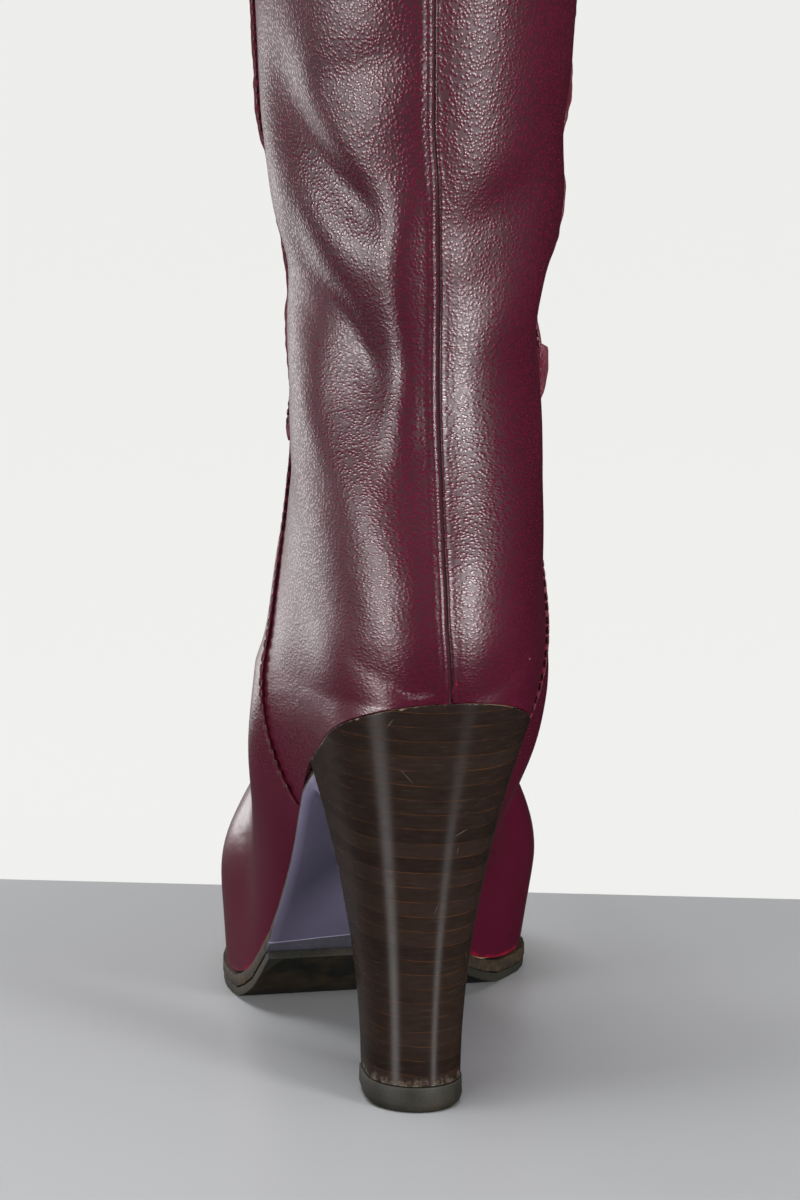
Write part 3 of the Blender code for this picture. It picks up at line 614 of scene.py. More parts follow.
def burgundyLeather():
    # drum-milled calf with a wax finish: pebbles about 0.9 mm wide up the shaft, flatter and drawn out
    # sideways round the heel, so the shine breaks into small points
    look = {
        "deep": "#3d0c1d",
        "red": "#541329",
        "groove": "#1d060c",
        # painted glint: a brighter red for light caught along the upper's lower margin above the sole
        "paintedGlint": "#8f1528",
        "marks": (
            # across and up, turn in degrees, length, width, colour
            (20.2, 119.4, -32, 4.6, 0.5, "#8e1c38"),
            (17.0, 116.6, 12, 2.4, 0.4, "#8e1c38"),
            (1.6, 107.4, 70, 3.4, 0.7, "#a5142f"),
            (0.6, 109.6, 100, 2.0, 0.5, "#a5142f"),
            (9.5, 106.4, 5, 8.0, 2.0, "#6f5d63"),
            (12.5, 107.2, -12, 4.0, 1.0, "#8a7a80"),
            (-20.5, 113.0, 30, 0.9, 0.4, "#b9aeb2"),
        ),
        "pebble": 0.9,
        "drawn": 0.8,
        "pore": 0.4,
        "wrinkle": 7.0,
        "patch": 40.0,
    }
    material, tree, shader = newMaterial("milled_calf", {"IOR": 1.45})
    place = addNode(tree, "TexCoord").outputs["Object"]
    split = addNode(tree, "SeparateXYZ", None, (place,))
    height = split.outputs["Z"]
    shift = addNode(tree, "TexNoise", None, {"Vector": place, "Scale": 1 / (6 * mm), "Detail": 2.0})
    bent = addNode(tree, "VectorMath", multiplyAdd, (shift.outputs["Color"], (0.0009,) * 3, place))
    squeezed = addNode(tree, "Mapping", None, {"Vector": bent, "Scale": (0.7, 0.7, 1.2)})
    heights = []
    for vector, cell in ((squeezed, look["drawn"]), (bent, look["pebble"])):
        cells = addNode(tree, "TexVoronoi", {"feature": "F1"}, {"Vector": vector, "Scale": 1 / (cell * mm)})
        dome = addNode(tree, "MapRange", eased, (cells, 0.18, 0.64, 1.0, 0.0))
        heights.append(dome)
    upShaft = addNode(tree, "MapRange", eased, (height, 0.15, 0.235))
    grain = addNode(
        tree, "Mix", {"data_type": "FLOAT"}, {"Factor": upShaft, "A": heights[0], "B": heights[1]}
    )
    pores = addNode(
        tree, "TexNoise", None, {"Vector": place, "Scale": 1 / (look["pore"] * mm), "Detail": 3.0}
    )
    wrinkles = addNode(
        tree, "TexNoise", None,
        {"Vector": squeezed, "Scale": 1 / (look["wrinkle"] * mm), "Detail": 2.0, "Distortion": 0.5},
    )
    patches = addNode(
        tree, "TexNoise", None, {"Vector": place, "Scale": 1 / (look["patch"] * mm), "Detail": 3.0}
    )
    fine = addNode(tree, "Math", multiplyAdd, (pores, 0.12, grain))
    # lasted tight over the foot, the grain is pulled flat there
    loose = addNode(tree, "MapRange", eased, (height, 0.05, 0.17, 0.06, 1.0))
    fine = addNode(tree, "Math", multiply, (fine, loose))
    coarse = addNode(tree, "Bump", None, {"Strength": 0.3, "Distance": 0.5 * mm, "Height": wrinkles})
    bump = addNode(
        tree, "Bump", None, {"Strength": 0.6, "Distance": 0.1 * mm, "Height": fine, "Normal": coarse}
    )
    colour = addNode(
        tree, "Mix", inColour, {"Factor": patches, "A": linear(look["deep"]), "B": linear(look["red"])}
    )
    valley = addNode(tree, "MapRange", None, (grain, 0.0, 0.7, 0.55, 1.05))
    colour = addNode(
        tree, "Mix", {"data_type": "RGBA", "blend_type": "MULTIPLY"},
        {"Factor": loose, "A": colour, "B": valley},
    )
    # painted glint: a brighter red line along the feather line over the ball, where light catches the upper's
    # lower margin, broken up by the wrinkle noise
    paintedGlint = addNode(tree, "Attribute", {"attribute_name": "featherAway"}).outputs["Fac"]
    paintedGlint = addNode(tree, "MapRange", eased, (paintedGlint, 0.4, 1.8, 0.8, 0.0))
    atBall = addNode(tree, "MapRange", eased, (height, 0.017, 0.026, 1.0, 0.0))
    paintedGlint = addNode(tree, "Math", multiply, (paintedGlint, atBall))
    uneven = addNode(tree, "MapRange", None, (wrinkles, 0.4, 0.6))
    paintedGlint = addNode(tree, "Math", multiply, (paintedGlint, uneven))
    colour = addNode(tree, "Mix", inColour, {"Factor": paintedGlint, "A": colour, "B": linear(look["paintedGlint"])})
    behind = addNode(tree, "Math", {"operation": "GREATER_THAN"}, (split.outputs["Y"], 0.08))
    speckle = addNode(tree, "MapRange", None, (pores, 0.46, 0.62))
    speckle = addNode(tree, "Math", multiply, (speckle, behind))
    for across, up, turn, length, width, tint in look["marks"]:
        away = strokeAway(tree, bent, across, up, turn, length, width)
        mark = addNode(tree, "MapRange", None, (away, 0.3, 1.1, 0.75, 0.0))
        mark = addNode(tree, "Math", multiply, (mark, speckle))
        colour = addNode(tree, "Mix", inColour, {"Factor": mark, "A": colour, "B": linear(tint)})
    seam = addNode(tree, "Attribute", {"attribute_name": "seamAway"}).outputs["Fac"]
    seam = addNode(tree, "Math", {"operation": "ABSOLUTE"}, (seam,))
    dark = addNode(tree, "MapRange", eased, (seam, 0.1, 0.34, 1.0, 0.0))
    colour = addNode(tree, "Mix", inColour, {"Factor": dark, "A": colour, "B": linear(look["groove"])})
    rough = addNode(tree, "MapRange", None, (grain, 0.0, 0.7, 0.42, 0.22))
    rough = addNode(tree, "Math", multiplyAdd, (patches, 0.12, rough))
    rough = addNode(tree, "Mix", {"data_type": "FLOAT"}, {"Factor": loose, "A": 0.36, "B": rough})
    polish = addNode(tree, "MapRange", None, (height, 0.06, 0.12, 0.65, 0.95))
    rough = addNode(tree, "Math", multiply, (rough, polish))
    rough = addNode(tree, "Mix", {"data_type": "FLOAT"}, {"Factor": dark, "A": rough, "B": 0.9})
    setInputs(tree, shader, {"Base Color": colour, "Roughness": rough, "Normal": bump})
    return material


def calfLining():
    # undyed lining calf: matt, faintly blotched, with fine pores
    material, tree, shader = newMaterial("lining_calf", {"Roughness": 0.72, "IOR": 1.45})
    place = addNode(tree, "TexCoord").outputs["Object"]
    blotch = addNode(tree, "TexNoise", None, {"Vector": place, "Scale": 1 / (18 * mm), "Detail": 4.0})
    pores = addNode(tree, "TexNoise", None, {"Vector": place, "Scale": 1 / (0.7 * mm), "Detail": 2.0})
    colour = addNode(
        tree, "Mix", inColour, {"Factor": blotch, "A": linear("#8f7058"), "B": linear("#b08f72")}
    )
    bump = addNode(tree, "Bump", None, {"Strength": 0.4, "Distance": 0.2 * mm, "Height": pores})
    setInputs(tree, shader, {"Base Color": colour, "Normal": bump})
    return material


upper = buildUpper(upperLook)
upperSkin = BVHTree.FromObject(upper, bpy.context.evaluated_depsgraph_get())


# Raised seams: two plies sewn edge to edge and left raw, standing off the leather
flangeLook = {
    "step": 0.9,  # between rings
    "halfWidth": 0.8,
    "rise": 1.5,
    "root": -1.0,  # how deep the plies reach into the leather
    "bites": (0.32, 2.6),  # unevenness of the cut edge and its length
    "stroll": (0.35, 13.0),  # sideways wander and its length
    "stitch": (3.1, 2.1, 0.26, 0.75),  # pitch, length, radius and height over the leather
}
lateralStops = (
    # along and up, side view
    (65.0, 66.5), (67.2, 80.0), (68.2, 95.0), (67.5, 115.0), (65.0, 140.0), (61.5, 180.0),
    (59.5, 230.0), (58.5, 300.0), (57.5, 380.0), (57.5, 450.0), (58.5, 530.0), (60.0, 631.0),
)
medialStops = (
    (60.0, 74.0), (56.0, 86.0), (51.0, 105.0), (46.0, 130.0), (42.5, 155.0), (41.0, 180.0),
    (42.0, 230.0), (43.0, 300.0), (44.0, 380.0), (45.0, 450.0), (47.0, 530.0), (50.0, 631.0),
)
ankleSeam = {
    # a flat cut through the ankle: a point of it and its rise towards the front, side view
    "back": (-2.4, 112.0),
    "front": (86.5, 195.6),
    "span": (114.0, 252.0),  # degrees from the back, over the outer side to the inner one
}


def sidePath(stops, side, step):
    rough = smoothLine(stops, 400)
    count = int(np.linalg.norm(np.diff(rough, axis=0), axis=1).sum() / step)
    path = []
    for along, up in smoothLine(stops, count):
        start = Vector((side * 0.2, (seatBack - along) * mm, up * mm))
        hit, normal, _, _ = upperSkin.ray_cast(start, Vector((-side, 0, 0)))
        if hit:
            path.append((np.array(hit) / mm, np.array(normal)))
    return path


def anklePath(seam, step):
    (backAlong, backUp), (frontAlong, frontUp) = seam["back"], seam["front"]
    middle = Vector((0, seatBack - (backAlong + frontAlong) / 2, (backUp + frontUp) / 2)) * mm
    forward = Vector((0, -(frontAlong - backAlong), frontUp - backUp)).normalized()
    first, last = seam["span"]
    path = []
    count = int((last - first) / 360 * 2 * math.pi * 48 / step)
    for degrees in np.linspace(first, last, count):
        turn = math.radians(degrees)
        way = Vector((math.sin(turn), 0, 0)) - forward * math.cos(turn)
        hit, normal, _, _ = upperSkin.ray_cast(middle + way * 0.2, -way)
        if hit:
            path.append((np.array(hit) / mm, np.array(normal)))
    return path


def smoothRows(rows, passes):
    for _ in range(passes):
        rows[1:-1] = 0.25 * rows[:-2] + 0.5 * rows[1:-1] + 0.25 * rows[2:]
    return rows


def seamFrames(path):
    places = smoothRows(np.array([row[0] for row in path]), 6)
    normals = smoothRows(np.array([row[1] for row in path]), 14)
    tangents = np.gradient(places, axis=0)
    tangents /= np.linalg.norm(tangents, axis=1)[:, None]
    normals -= tangents * np.einsum("ij,ij->i", normals, tangents)[:, None]
    normals /= np.linalg.norm(normals, axis=1)[:, None]
    run = runAlong(places)
    return places, normals, np.cross(tangents, normals), tangents, run


def wander(run, length, seed):
    return np.array([noise.noise(Vector((s / length, seed, 0.5 * seed))) for s in run])


def buildFlange(name, node, path, look, seed, tab=None, pucker=0.0):
    places, normals, across, tangents, run = seamFrames(path)
    half, rise, root = look["halfWidth"], look["rise"], look["root"]
    biteSize, biteLength = look["bites"]
    strollSize, strollLength = look["stroll"]
    slim = 0.6 + 0.4 * blendStep(places[:, 2], 168, 186)
    ends = blendStep(run, -1.5, 2.5) * (1 - blendStep(run, run[-1] - 3, run[-1]))
    tops = []
    for ply in (0, 1):
        uneven = wander(run, biteLength, seed + 3.7 * ply)
        uneven += 0.8 * wander(run, 4 * biteLength, seed + 9.1 * ply)
        tops.append((rise + biteSize * uneven) * slim * (0.35 + 0.65 * ends))
    if tab:
        low, high, extra = tab
        window = blendStep(places[:, 2], low, high - 1.5) * (1 - blendStep(places[:, 2], high - 0.6, high))
        tops = [top + extra * window for top in tops]
    stroll = strollSize * wander(run, strollLength, seed + 20)
    atAnkle = blendStep(places[:, 2], 120, 160) * (1 - blendStep(places[:, 2], 250, 330))
    stroll += pucker * atAnkle * np.sin(run / 3.7)
    profile = (
        # share of the half width and of the ply's height, and the ply
        (-1.0, None, 0), (-1.0, 0.45, 0), (-0.97, 0.8, 0), (-0.8, 0.97, 0), (-0.45, 1.0, 0), (-0.16, 0.93, 0),
        (0.0, 0.62, 0), (0.16, 0.93, 1), (0.45, 1.0, 1), (0.8, 0.97, 1), (0.97, 0.8, 1), (1.0, 0.45, 1),
        (1.0, None, 1),
    )
    rings = []
    for sideways, share, ply in profile:
        up = np.full(len(run), root) if share is None else share * tops[ply]
        lean = 0.0 if share is None else share
        aside = sideways * half * slim + lean * stroll
        rings.append(places + across * aside[:, None] + normals * up[:, None])
    count, wide = len(run), len(profile)
    corners = np.stack(rings, axis=1).reshape(-1, 3)
    faces = []
    for i in range(count - 1):
        for j in range(wide):
            k = (j + 1) % wide
            faces.append((i * wide + j, i * wide + k, (i + 1) * wide + k, (i + 1) * wide + j))
    faces += [tuple(range(wide)), tuple((count - 1) * wide + j for j in range(wide))]
    piece = newMesh(name, (corners * mm).tolist(), faces)
    keepValue(piece, "cutEdge", np.tile([0.0 if s is None else s for _, s, _ in profile], count))
    dress(piece, rawEdge, node)
    return places, normals, across, tangents, run


def stitchRow(places, outs, ways, length, radius):
    # one small capsule, copied along the row
    ringShares = ((-0.5, 0.0), (-0.42, 0.75), (-0.2, 1.0), (0.2, 1.0), (0.42, 0.75), (0.5, 0.0))
    sides = 6
    corners, faces = [], []
    for place, out, way in zip(places, outs, ways):
        cross = np.cross(way, out)
        first = len(corners)
        for share, grow in ringShares:
            for i in range(sides):
                turn = 2 * math.pi * i / sides
                spread = (cross * math.cos(turn) + out * math.sin(turn)) * radius * max(grow, 0.15)
                corners.append(place + way * share * length + spread - out * radius * 0.5 * (1 - grow))
        for ring in range(len(ringShares) - 1):
            for i in range(sides):
                j = (i + 1) % sides
                low, high = first + ring * sides, first + (ring + 1) * sides
                faces.append((low + i, low + j, high + j, high + i))
        faces.append(tuple(first + i for i in range(sides)))
        faces.append(tuple(first + (len(ringShares) - 1) * sides + i for i in range(sides)))
    return corners, faces


def buildStitches(name, rows, length, radius):
    corners, faces = [], []
    for places, outs, ways in rows:
        more, moreFaces = stitchRow(places, outs, ways, length, radius)
        faces += [tuple(i + len(corners) for i in face) for face in moreFaces]
        corners += more
    piece = newMesh(name, (np.array(corners) * mm).tolist(), faces)
    dress(piece, waxedThread)


def makeRawEdge():
    # cut calf edge: dark dyed fibres, fuzzy on top, the finished grain still showing on its flanks
    material, tree, shader = newMaterial("raw_calf_edge", {"IOR": 1.45})
    place = addNode(tree, "TexCoord").outputs["Object"]
    cut = addNode(tree, "Attribute", {"attribute_name": "cutEdge"}).outputs["Fac"]
    onTop = addNode(tree, "MapRange", eased, (cut, 0.5, 0.95))
    fibre = addNode(tree, "TexNoise", None, {"Vector": place, "Scale": 1 / (0.6 * mm), "Detail": 4.0})
    flank = addNode(
        tree, "Mix", inColour, {"Factor": fibre, "A": linear("#4a0d1e"), "B": linear("#6d1730")}
    )
    top = addNode(tree, "Mix", inColour, {"Factor": fibre, "A": linear("#300a14"), "B": linear("#6b2231")})
    colour = addNode(tree, "Mix", inColour, {"Factor": onTop, "A": flank, "B": top})
    rough = addNode(tree, "MapRange", None, (onTop, 0.0, 1.0, 0.42, 0.85))
    bump = addNode(tree, "Bump", None, {"Strength": 0.7, "Distance": 0.3 * mm, "Height": fibre})
    setInputs(tree, shader, {"Base Color": colour, "Roughness": rough, "Normal": bump})
    return material


def makeThread():
    # waxed polyester thread, twisted in three strands
    material, tree, shader = newMaterial("waxed_thread", {"Roughness": 0.45, "IOR": 1.5})
    place = addNode(tree, "TexCoord").outputs["Object"]
    twist = addNode(tree, "TexNoise", None, {"Vector": place, "Scale": 1 / (0.35 * mm), "Detail": 1.0})
    colour = addNode(
        tree, "Mix", inColour, {"Factor": twist, "A": linear("#2c0812"), "B": linear("#5a1628")}
    )
    bump = addNode(tree, "Bump", None, {"Strength": 0.5, "Distance": 0.1 * mm, "Height": twist})
    setInputs(tree, shader, {"Base Color": colour, "Normal": bump})
    return material


rawEdge = makeRawEdge()
waxedThread = makeThread()


def buildSeams(look):
    step = look["step"]
    seams = (
        # name, node, path, seed, a tab (from, to, extra rise) and the pucker
        ("lateral_flange", "lateral_seam", sidePath(lateralStops, 1, step), 2.0, None, 0.0),
        ("medial_flange", "medial_seam", sidePath(medialStops, -1, step), 5.0, (166.0, 186.0, 1.5), 0.7),
        ("ankle_flange", "front_seam", anklePath(ankleSeam, step), 8.0, None, 0.0),
    )
    pitch, length, radius, lift = look["stitch"]
    rows = []
    for name, node, path, seed, tab, pucker in seams:
        places, normals, across, tangents, run = buildFlange(name, node, path, look, seed, tab, pucker)
        marks = np.arange(5, run[-1] - 5, pitch)
        picks = [int(np.searchsorted(run, mark)) for mark in marks]
        for side in (-1, 1):
            seats = places[picks] + normals[picks] * lift + side * across[picks] * (look["halfWidth"] + 0.02)
            rows.append((seats, side * across[picks], tangents[picks]))
    buildStitches("flange_stitching", rows, length, radius)


buildSeams(flangeLook)

collarLook = {"height": 622.5, "stitch": (3.2, 2.2, 0.28)}


def buildCollarStitches(look):
    pitch, length, radius = look["stitch"]
    places, outs = [], []
    for degrees in np.linspace(0, 360, 721)[:-1]:
        way = Vector((math.sin(math.radians(degrees)), math.cos(math.radians(degrees)), 0))
        start = Vector((shaftAxis[0], shaftAxis[1], look["height"])) * mm + way * 0.2
        hit, normal, _, _ = upperSkin.ray_cast(start, -way)
        places.append(np.array(hit) / mm)
        outs.append(np.array(normal))
    places, outs = np.array(places), np.array(outs)
    closed = np.vstack([places, places[:1]])
    run = runAlong(closed)
    count = int(run[-1] / pitch)
    picks = [int(np.searchsorted(run, run[-1] * i / count)) % len(places) for i in range(count)]
    ways = np.roll(places, -1, axis=0) - np.roll(places, 1, axis=0)
    ways /= np.linalg.norm(ways, axis=1)[:, None]
    buildStitches("collar_stitching", [(places[picks], outs[picks], ways[picks])], length, radius)


buildCollarStitches(collarLook)


# Heel: built up from lifts of sole leather, sanded, stained and waxed
heelLook = {"bevel": (0.5, 3), "levels": 2}


def stackedLeather():
    # lifts about 3.7 mm thick: dark stain, a thin orange line of glue between lifts, long polished shine,
    # small nicks, and bare pale fibre where the rim is rubbed
    look = {
        "lift": 3.7,
        "dark": "#1d1613",
        "brown": "#2a201b",
        "glue": "#5c3617",
        "bare": "#8a7d6e",
        "scratches": (
            # across and up, turn in degrees, length, width
            (10.8, 85.6, -48, 5.2, 0.12),
            (15.0, 99.0, 62, 3.0, 0.14),
            (-3.0, 71.0, 24, 4.5, 0.16),
            (-2.2, 66.5, 80, 2.2, 0.14),
            (3.0, 52.0, 70, 2.6, 0.1),
            (-6.5, 38.0, -66, 2.8, 0.1),
        ),
    }
    material, tree, shader = newMaterial(
        "stacked_sole_leather", {"IOR": 1.19, "Coat Weight": 0.05, "Coat Roughness": 0.16, "Coat IOR": 1.4}
    )
    place = addNode(tree, "TexCoord").outputs["Object"]
    split = addNode(tree, "SeparateXYZ", None, (place,))
    sway = addNode(tree, "TexNoise", None, {"Vector": place, "Scale": 1 / (28 * mm), "Detail": 1.0})
    tilted = addNode(tree, "VectorMath", {"operation": "DOT_PRODUCT"}, (place, (-0.02, 0.05, 1.0)))
    swayed = addNode(tree, "Math", multiplyAdd, (sway, 1.6 * mm, tilted))
    layers = addNode(tree, "Math", {"operation": "DIVIDE"}, (swayed, look["lift"] * mm))
    number = addNode(tree, "Math", {"operation": "FLOOR"}, (layers,))
    within = addNode(tree, "Math", {"operation": "FRACT"}, (layers,))
    tint = addNode(tree, "TexWhiteNoise", {"noise_dimensions": "1D"}, {"W": number})
    line = addNode(tree, "MapRange", eased, (within, 0.0, 0.055, 1.0, 0.0))
    grainWay = addNode(tree, "Mapping", None, {"Vector": place, "Scale": (1.0, 1.0, 6.0)})
    fibre = addNode(
        tree, "TexNoise", None, {"Vector": grainWay, "Scale": 1 / (5 * mm), "Detail": 3.0, "Roughness": 0.5}
    )
    broken = addNode(tree, "TexNoise", None, {"Vector": place, "Scale": 1 / (9 * mm), "Detail": 3.0})
    broken = addNode(tree, "MapRange", None, (broken, 0.36, 0.66, 0.0, 0.9))
    line = addNode(tree, "Math", multiply, (line, broken))
    shade = addNode(tree, "Math", multiplyAdd, (tint, 0.5, fibre))
    shade = addNode(tree, "MapRange", None, (shade, 0.4, 1.1))
    colour = addNode(
        tree, "Mix", inColour, {"Factor": shade, "A": linear(look["dark"]), "B": linear(look["brown"])}
    )
    edge = addNode(tree, "Attribute", {"attribute_name": "edgeAway"}).outputs["Fac"]
    ragged = addNode(
        tree, "TexNoise", None, {"Vector": place, "Scale": 1 / (2.6 * mm), "Detail": 5.0, "Roughness": 0.7}
    )
    chips = addNode(tree, "Math", multiplyAdd, (ragged, -1.6, edge))
    worn = addNode(tree, "MapRange", eased, (chips, -0.95, -0.4, 0.85, 0.0))
    # the inner side of the rim is hardly rubbed
    outer = addNode(tree, "MapRange", eased, (split.outputs["X"], -0.016, 0.004, 0.25, 1.0))
    worn = addNode(tree, "Math", multiply, (worn, outer))
    # the foot of the heel is chipped where it meets the top piece
    foot = addNode(tree, "MapRange", eased, (split.outputs["Z"], 7.0 * mm, 9.6 * mm, 1.0, 0.0))
    flakes = addNode(tree, "MapRange", None, (ragged, 0.48, 0.7, 0.0, 0.5))
    foot = addNode(tree, "Math", multiply, (foot, flakes))
    worn = addNode(tree, "Math", {"operation": "MAXIMUM"}, (worn, foot))
    nicks = 0.0
    for across, up, turn, length, width in look["scratches"]:
        away = strokeAway(tree, place, across, up, turn, length, width)
        mark = addNode(tree, "MapRange", None, (away, 0.4, 1.0, 0.45, 0.0))
        nicks = addNode(tree, "Math", {"operation": "MAXIMUM"}, (mark, nicks))
    for mask, coat in ((line, "glue"), (worn, "bare"), (nicks, "bare")):
        colour = addNode(tree, "Mix", inColour, {"Factor": mask, "A": colour, "B": linear(look[coat])})
    rough = addNode(tree, "MapRange", None, (fibre, 0.3, 0.7, 0.18, 0.28))
    rough = addNode(tree, "Math", multiplyAdd, (worn, 0.35, rough))
    ridges = addNode(tree, "Math", {"operation": "SUBTRACT"}, (fibre, line))
    bump = addNode(tree, "Bump", None, {"Strength": 0.12, "Distance": 0.12 * mm, "Height": ridges})
    setInputs(tree, shader, {"Base Color": colour, "Roughness": rough, "Normal": bump})
    return material


def buildHeel(look):
    piece = copyNode("heel", "heel_stack")
    marks = softenEdges(piece, 32, *look["bevel"])
    applyModifier(piece, "SUBSURF", levels=look["levels"], render_levels=look["levels"])
    keepEdgeDistance(piece, marks)
    dress(piece, stackedLeather(), "heel")


buildHeel(heelLook)


# Soles: a painted leather arch with bare edges, a rubber half sole and a rubber top piece
soleLook = {
    "archBevel": (0.35, 2),
    "waistRound": (2.1, 5),  # the underside is rounded up to the cut edge
    "archDome": 1.1,  # how far the arch swells between its edges
    "archSpan": (62.0, 104.0),  # along, where the arch swells
    "crossCuts": 11,
    "half_sole": (1.6, 4),  # width and steps of the rounding of the rubber's edges
    "top_piece": (0.45, 3),
    "sockBevel": (0.5, 2),
}


def violetPaint():
    # sole leather with a thin violet paint: semi-gloss, faint fibre under it, tan where the cut edge shows
    look = {
        "violet": "#585366",
        "grey": "#4a4658",
        "paintedBrightening": 1.5,  # painted light: how much brighter the paint is drawn higher up, towards the heel, where the side light falls
        "ink": "#241a14",
        "tan": "#43351f",
        "scuff": "#8d8799",
        "film": "#3b3b40",
        "filmTop": 24.3,  # height of the film that was left behind the half sole
    }
    material, tree, shader = newMaterial("painted_sole_leather", {"IOR": 1.42})
    place = addNode(tree, "TexCoord").outputs["Object"]
    cloud = addNode(tree, "TexNoise", None, {"Vector": place, "Scale": 1 / (16 * mm), "Detail": 4.0})
    colour = addNode(
        tree, "Mix", inColour, {"Factor": cloud, "A": linear(look["grey"]), "B": linear(look["violet"])}
    )
    streakWay = addNode(tree, "Mapping", None, {"Vector": place, "Scale": (9.0, 1.0, 1.0)})
    streaks = addNode(
        tree, "TexNoise", None,
        {"Vector": streakWay, "Scale": 1 / (14 * mm), "Detail": 4.0, "Roughness": 0.7},
    )
    scuffs = addNode(tree, "MapRange", None, (streaks, 0.62, 0.8, 0.0, 0.35))
    colour = addNode(tree, "Mix", inColour, {"Factor": scuffs, "A": colour, "B": linear(look["scuff"])})
    split = addNode(tree, "SeparateXYZ", None, (place,))
    # painted light: the paint is drawn brighter higher up, standing in for the side light on the upper part
    # of the arch
    paintedBrightening = addNode(tree, "MapRange", eased, (split.outputs["Z"], 0.03, 0.075, 1.0, look["paintedBrightening"]))
    colour = addNode(
        tree, "Mix", {"data_type": "RGBA", "blend_type": "MULTIPLY"},
        {"Factor": 1.0, "A": colour, "B": paintedBrightening},
    )
    # the film's edge climbs a little towards the inner side
    sloped = addNode(tree, "VectorMath", {"operation": "DOT_PRODUCT"}, (place, (0.083, 0.0, 1.0)))
    high = look["filmTop"]
    crumple = addNode(
        tree, "TexNoise", None,
        {"Vector": streakWay, "Scale": 1 / (30 * mm), "Detail": 6.0, "Roughness": 0.75},
    )
    film = addNode(tree, "MapRange", eased, (sloped, (high - 0.2) * mm, high * mm, 1.0, 0.0))
    cloudy = addNode(tree, "MapRange", None, (crumple, 0.35, 0.65, 0.6, 1.0))
    veil = addNode(tree, "Math", multiply, (film, cloudy))
    rim = addNode(tree, "Math", {"operation": "COMPARE"}, (sloped, (high - 0.15) * mm, 0.17 * mm))
    rim = addNode(tree, "Math", multiply, (rim, cloudy))
    for mask, coat in ((veil, "film"), (rim, "scuff")):
        colour = addNode(tree, "Mix", inColour, {"Factor": mask, "A": colour, "B": linear(look[coat])})
    # the cut edge: inked dark, tan where it is rubbed, wider at the ball than at the waist
    edge = addNode(tree, "Attribute", {"attribute_name": "edgeAway"}).outputs["Fac"]
    ragged = addNode(
        tree, "TexNoise", None, {"Vector": place, "Scale": 1 / (2.2 * mm), "Detail": 4.0, "Roughness": 0.65}
    )
    reach = addNode(tree, "MapRange", eased, (split.outputs["Y"], -8 * mm, 6 * mm, 3.6, 0.75))
    reach = addNode(tree, "Math", multiplyAdd, (ragged, 0.6, reach))
    inset = addNode(tree, "Math", {"operation": "SUBTRACT"}, (edge, reach))
    bare = addNode(tree, "MapRange", eased, (inset, -0.2, 0.1, 1.0, 0.0))
    rubbed = addNode(tree, "MapRange", None, (ragged, 0.44, 0.66, 0.0, 0.9))
    cutColour = addNode(
        tree, "Mix", inColour, {"Factor": rubbed, "A": linear(look["ink"]), "B": linear(look["tan"])}
    )
    colour = addNode(tree, "Mix", inColour, {"Factor": bare, "A": colour, "B": cutColour})
    rough = addNode(tree, "MapRange", None, (bare, 0.0, 1.0, 0.34, 0.7))
    fibre = addNode(tree, "TexNoise", None, {"Vector": place, "Scale": 1 / (0.8 * mm), "Detail": 4.0})
    bump = addNode(tree, "Bump", None, {"Strength": 0.2, "Distance": 0.15 * mm, "Height": fibre})
    setInputs(tree, shader, {"Base Color": colour, "Roughness": rough, "Normal": bump})
    return material


def soleRubber():
    # pressed sole rubber: matt olive black, gritty, dusty in patches, greyed where it is rubbed
    look = {
        "black": "#0b0c0a",
        "olive": "#171712",
        "dust": "#302d26",
        "smudge": "#33240f",
        "scuffed": "#5e5a50",
        "rubbed": "#403d34",
    }
    material, tree, shader = newMaterial("sole_rubber", {"IOR": 1.36})
    place = addNode(tree, "TexCoord").outputs["Object"]
    cloud = addNode(
        tree, "TexNoise", None, {"Vector": place, "Scale": 1 / (11 * mm), "Detail": 5.0, "Roughness": 0.6}
    )
    grit = addNode(tree, "TexNoise", None, {"Vector": place, "Scale": 1 / (0.5 * mm), "Detail": 3.0})
    colour = addNode(
        tree, "Mix", inColour, {"Factor": cloud, "A": linear(look["black"]), "B": linear(look["olive"])}
    )
    dust = addNode(tree, "Math", multiply, (cloud, grit))
    dust = addNode(tree, "MapRange", None, (dust, 0.27, 0.42, 0.0, 0.5))
    stain = addNode(
        tree, "TexNoise", None, {"Vector": place, "Scale": 1 / (24 * mm), "Detail": 4.0, "Roughness": 0.65}
    )
    stain = addNode(tree, "MapRange", None, (stain, 0.5, 0.68, 0.0, 0.7))
    # the top piece under the heel is scuffed paler than the half sole
    split = addNode(tree, "SeparateXYZ", None, (place,))
    back = addNode(tree, "MapRange", None, (split.outputs["Y"], 0.03, 0.06, 0.0, 0.3))
    scuffed = addNode(tree, "Math", multiply, (back, cloud))
    edge = addNode(tree, "Attribute", {"attribute_name": "edgeAway"}).outputs["Fac"]
    rubbed = addNode(tree, "Math", multiplyAdd, (grit, -1.2, edge))
    rubbed = addNode(tree, "MapRange", eased, (rubbed, -0.5, 0.1, 0.3, 0.0))
    for mask, coat in ((dust, "dust"), (stain, "smudge"), (scuffed, "scuffed"), (rubbed, "rubbed")):
        colour = addNode(tree, "Mix", inColour, {"Factor": mask, "A": colour, "B": linear(look[coat])})
    rough = addNode(tree, "MapRange", None, (cloud, 0.0, 1.0, 0.5, 0.75))
    bump = addNode(tree, "Bump", None, {"Strength": 0.4, "Distance": 0.2 * mm, "Height": grit})
    setInputs(tree, shader, {"Base Color": colour, "Roughness": rough, "Normal": bump})
    return material


def crossEdges(piece, shortest):
    # edges that run straight across the sole from side to side
    places, ends = points(piece), edgeEnds(piece)
    way = np.abs(places[ends[:, 1]] - places[ends[:, 0]])
    return np.where((way[:, 0] > shortest) & (way[:, 0] > 4 * np.hypot(way[:, 1], way[:, 2])))[0]


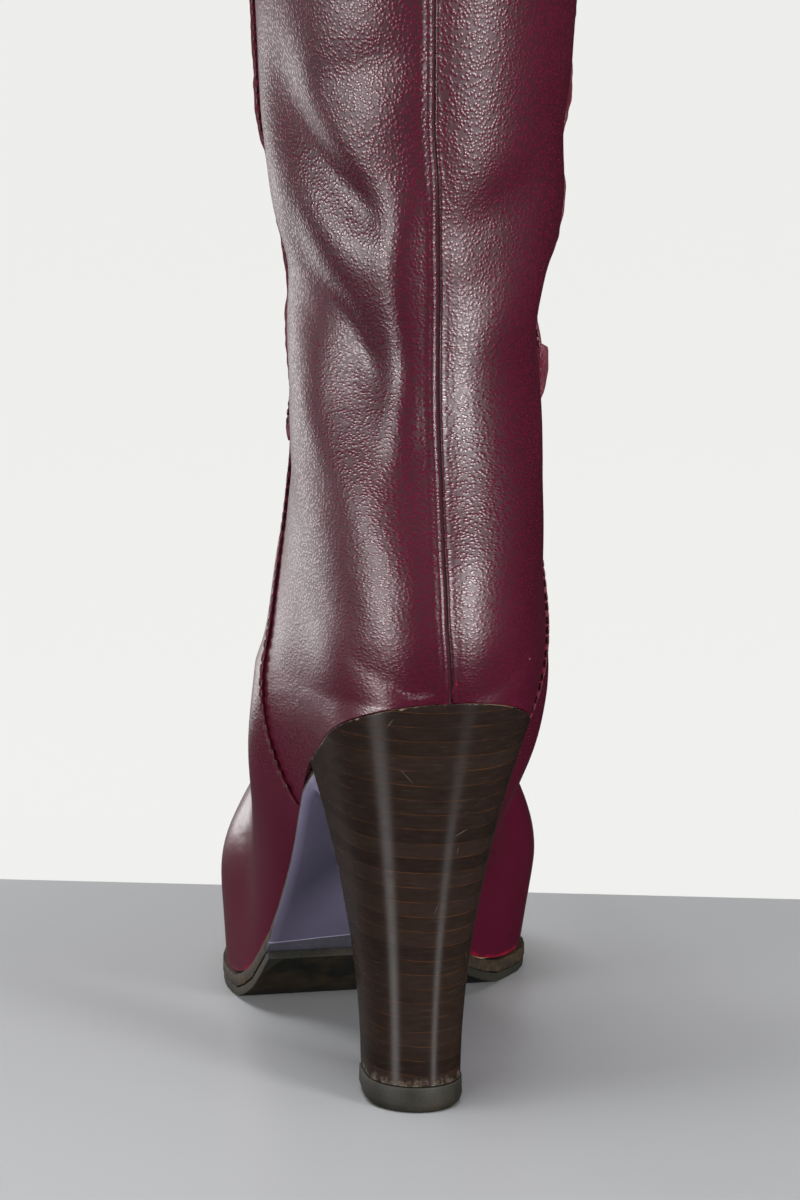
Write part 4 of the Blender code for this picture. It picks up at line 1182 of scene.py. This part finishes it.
def soleRims(piece):
    # the edges between the cut side and the top, and those between it and the underside of the waist
    beside = {}
    for face in piece.data.polygons:
        for key in face.edge_keys:
            beside.setdefault(key, []).append(face.normal)
    corners = points(piece)
    down = Vector((0, 0.5, -0.86))
    upperEdges, lowerEdges = [], []
    for edge in piece.data.edges:
        pair = beside[edge.key]
        if len(pair) < 2 or pair[0].dot(pair[1]) > 0.6:
            continue
        across = max(abs(normal.x) for normal in pair)
        along = seatBack - corners[list(edge.vertices)].mean(axis=0)[1]
        if any(normal.dot(down) < -0.35 for normal in pair):
            upperEdges.append(edge.index)
        elif across > 0.6 and 52 < along < 104 and any(normal.dot(down) > 0.4 for normal in pair):
            lowerEdges.append(edge.index)
    return upperEdges, lowerEdges


def roundOff(piece, wanted, width, segments):
    pickEdges(piece, wanted)
    bpy.ops.mesh.bevel(offset=width * mm, segments=segments, affect="EDGES", clamp_overlap=True)
    bpy.ops.object.mode_set(mode="OBJECT")


def keepCorners(piece):
    makeActive(piece)
    bpy.ops.object.shade_smooth_by_angle(angle=math.radians(50))


def buildArch(look):
    piece = copyNode("outsole", "painted_arch")
    upperEdges, lowerEdges = soleRims(piece)
    corners, ends = points(piece), edgeEnds(piece)
    marks = []
    for first, second in corners[ends[upperEdges]]:
        marks += [first + (second - first) * share for share in np.linspace(0, 1, 9)]
    roundOff(piece, lowerEdges, *look["waistRound"])
    softenEdges(piece, 50, *look["archBevel"])
    subdivideEdges(piece, crossEdges(piece, 8.0), look["crossCuts"])
    places, normals = points(piece), outward(piece)
    along = seatBack - places[:, 1]
    start, end = look["archSpan"]
    swell = blendStep(along, start - 16, start) * (1 - blendStep(along, end - 14, end))
    underside = (normals[:, 2] < -0.1) | ((normals[:, 1] < -0.5) & (normals[:, 2] < 0.3))
    # how far in from the sides each point lies, by its neighbours at the same place along
    inward = np.zeros(len(places))
    for row in np.unique(np.round(along, 1)):
        here = np.abs(along - row) < 0.4
        low, high = places[here, 0].min(), places[here, 0].max()
        inward[here] = np.clip(1 - np.abs(places[here, 0] * 2 - low - high) / max(high - low, 1e-6), 0, 1)
    dome = look["archDome"] * (1 - (1 - inward) ** 2)
    setPoints(piece, places + normals * (dome * swell * underside)[:, None])
    keepEdgeDistance(piece, marks)
    keepCorners(piece)
    dress(piece, violetPaint(), "outsole")


def buildRubber(node, name, look, rubber):
    piece = copyNode(node, name)
    marks = softenEdges(piece, 45, *look[node])
    subdivideEdges(piece, crossEdges(piece, 8.0), look["crossCuts"])
    keepEdgeDistance(piece, marks)
    keepCorners(piece)
    dress(piece, rubber, node)


def buildSock(look):
    piece = copyNode("insole", "sock_insole")
    softenEdges(piece, 50, *look["sockBevel"])
    subdivideEdges(piece, crossEdges(piece, 8.0), look["crossCuts"])
    keepCorners(piece)
    dress(piece, calfLining(), "insole")


buildArch(soleLook)
rubber = soleRubber()
buildRubber("half_sole", "half_sole_rubber", soleLook, rubber)
buildRubber("top_piece", "top_piece_rubber", soleLook, rubber)
buildSock(soleLook)
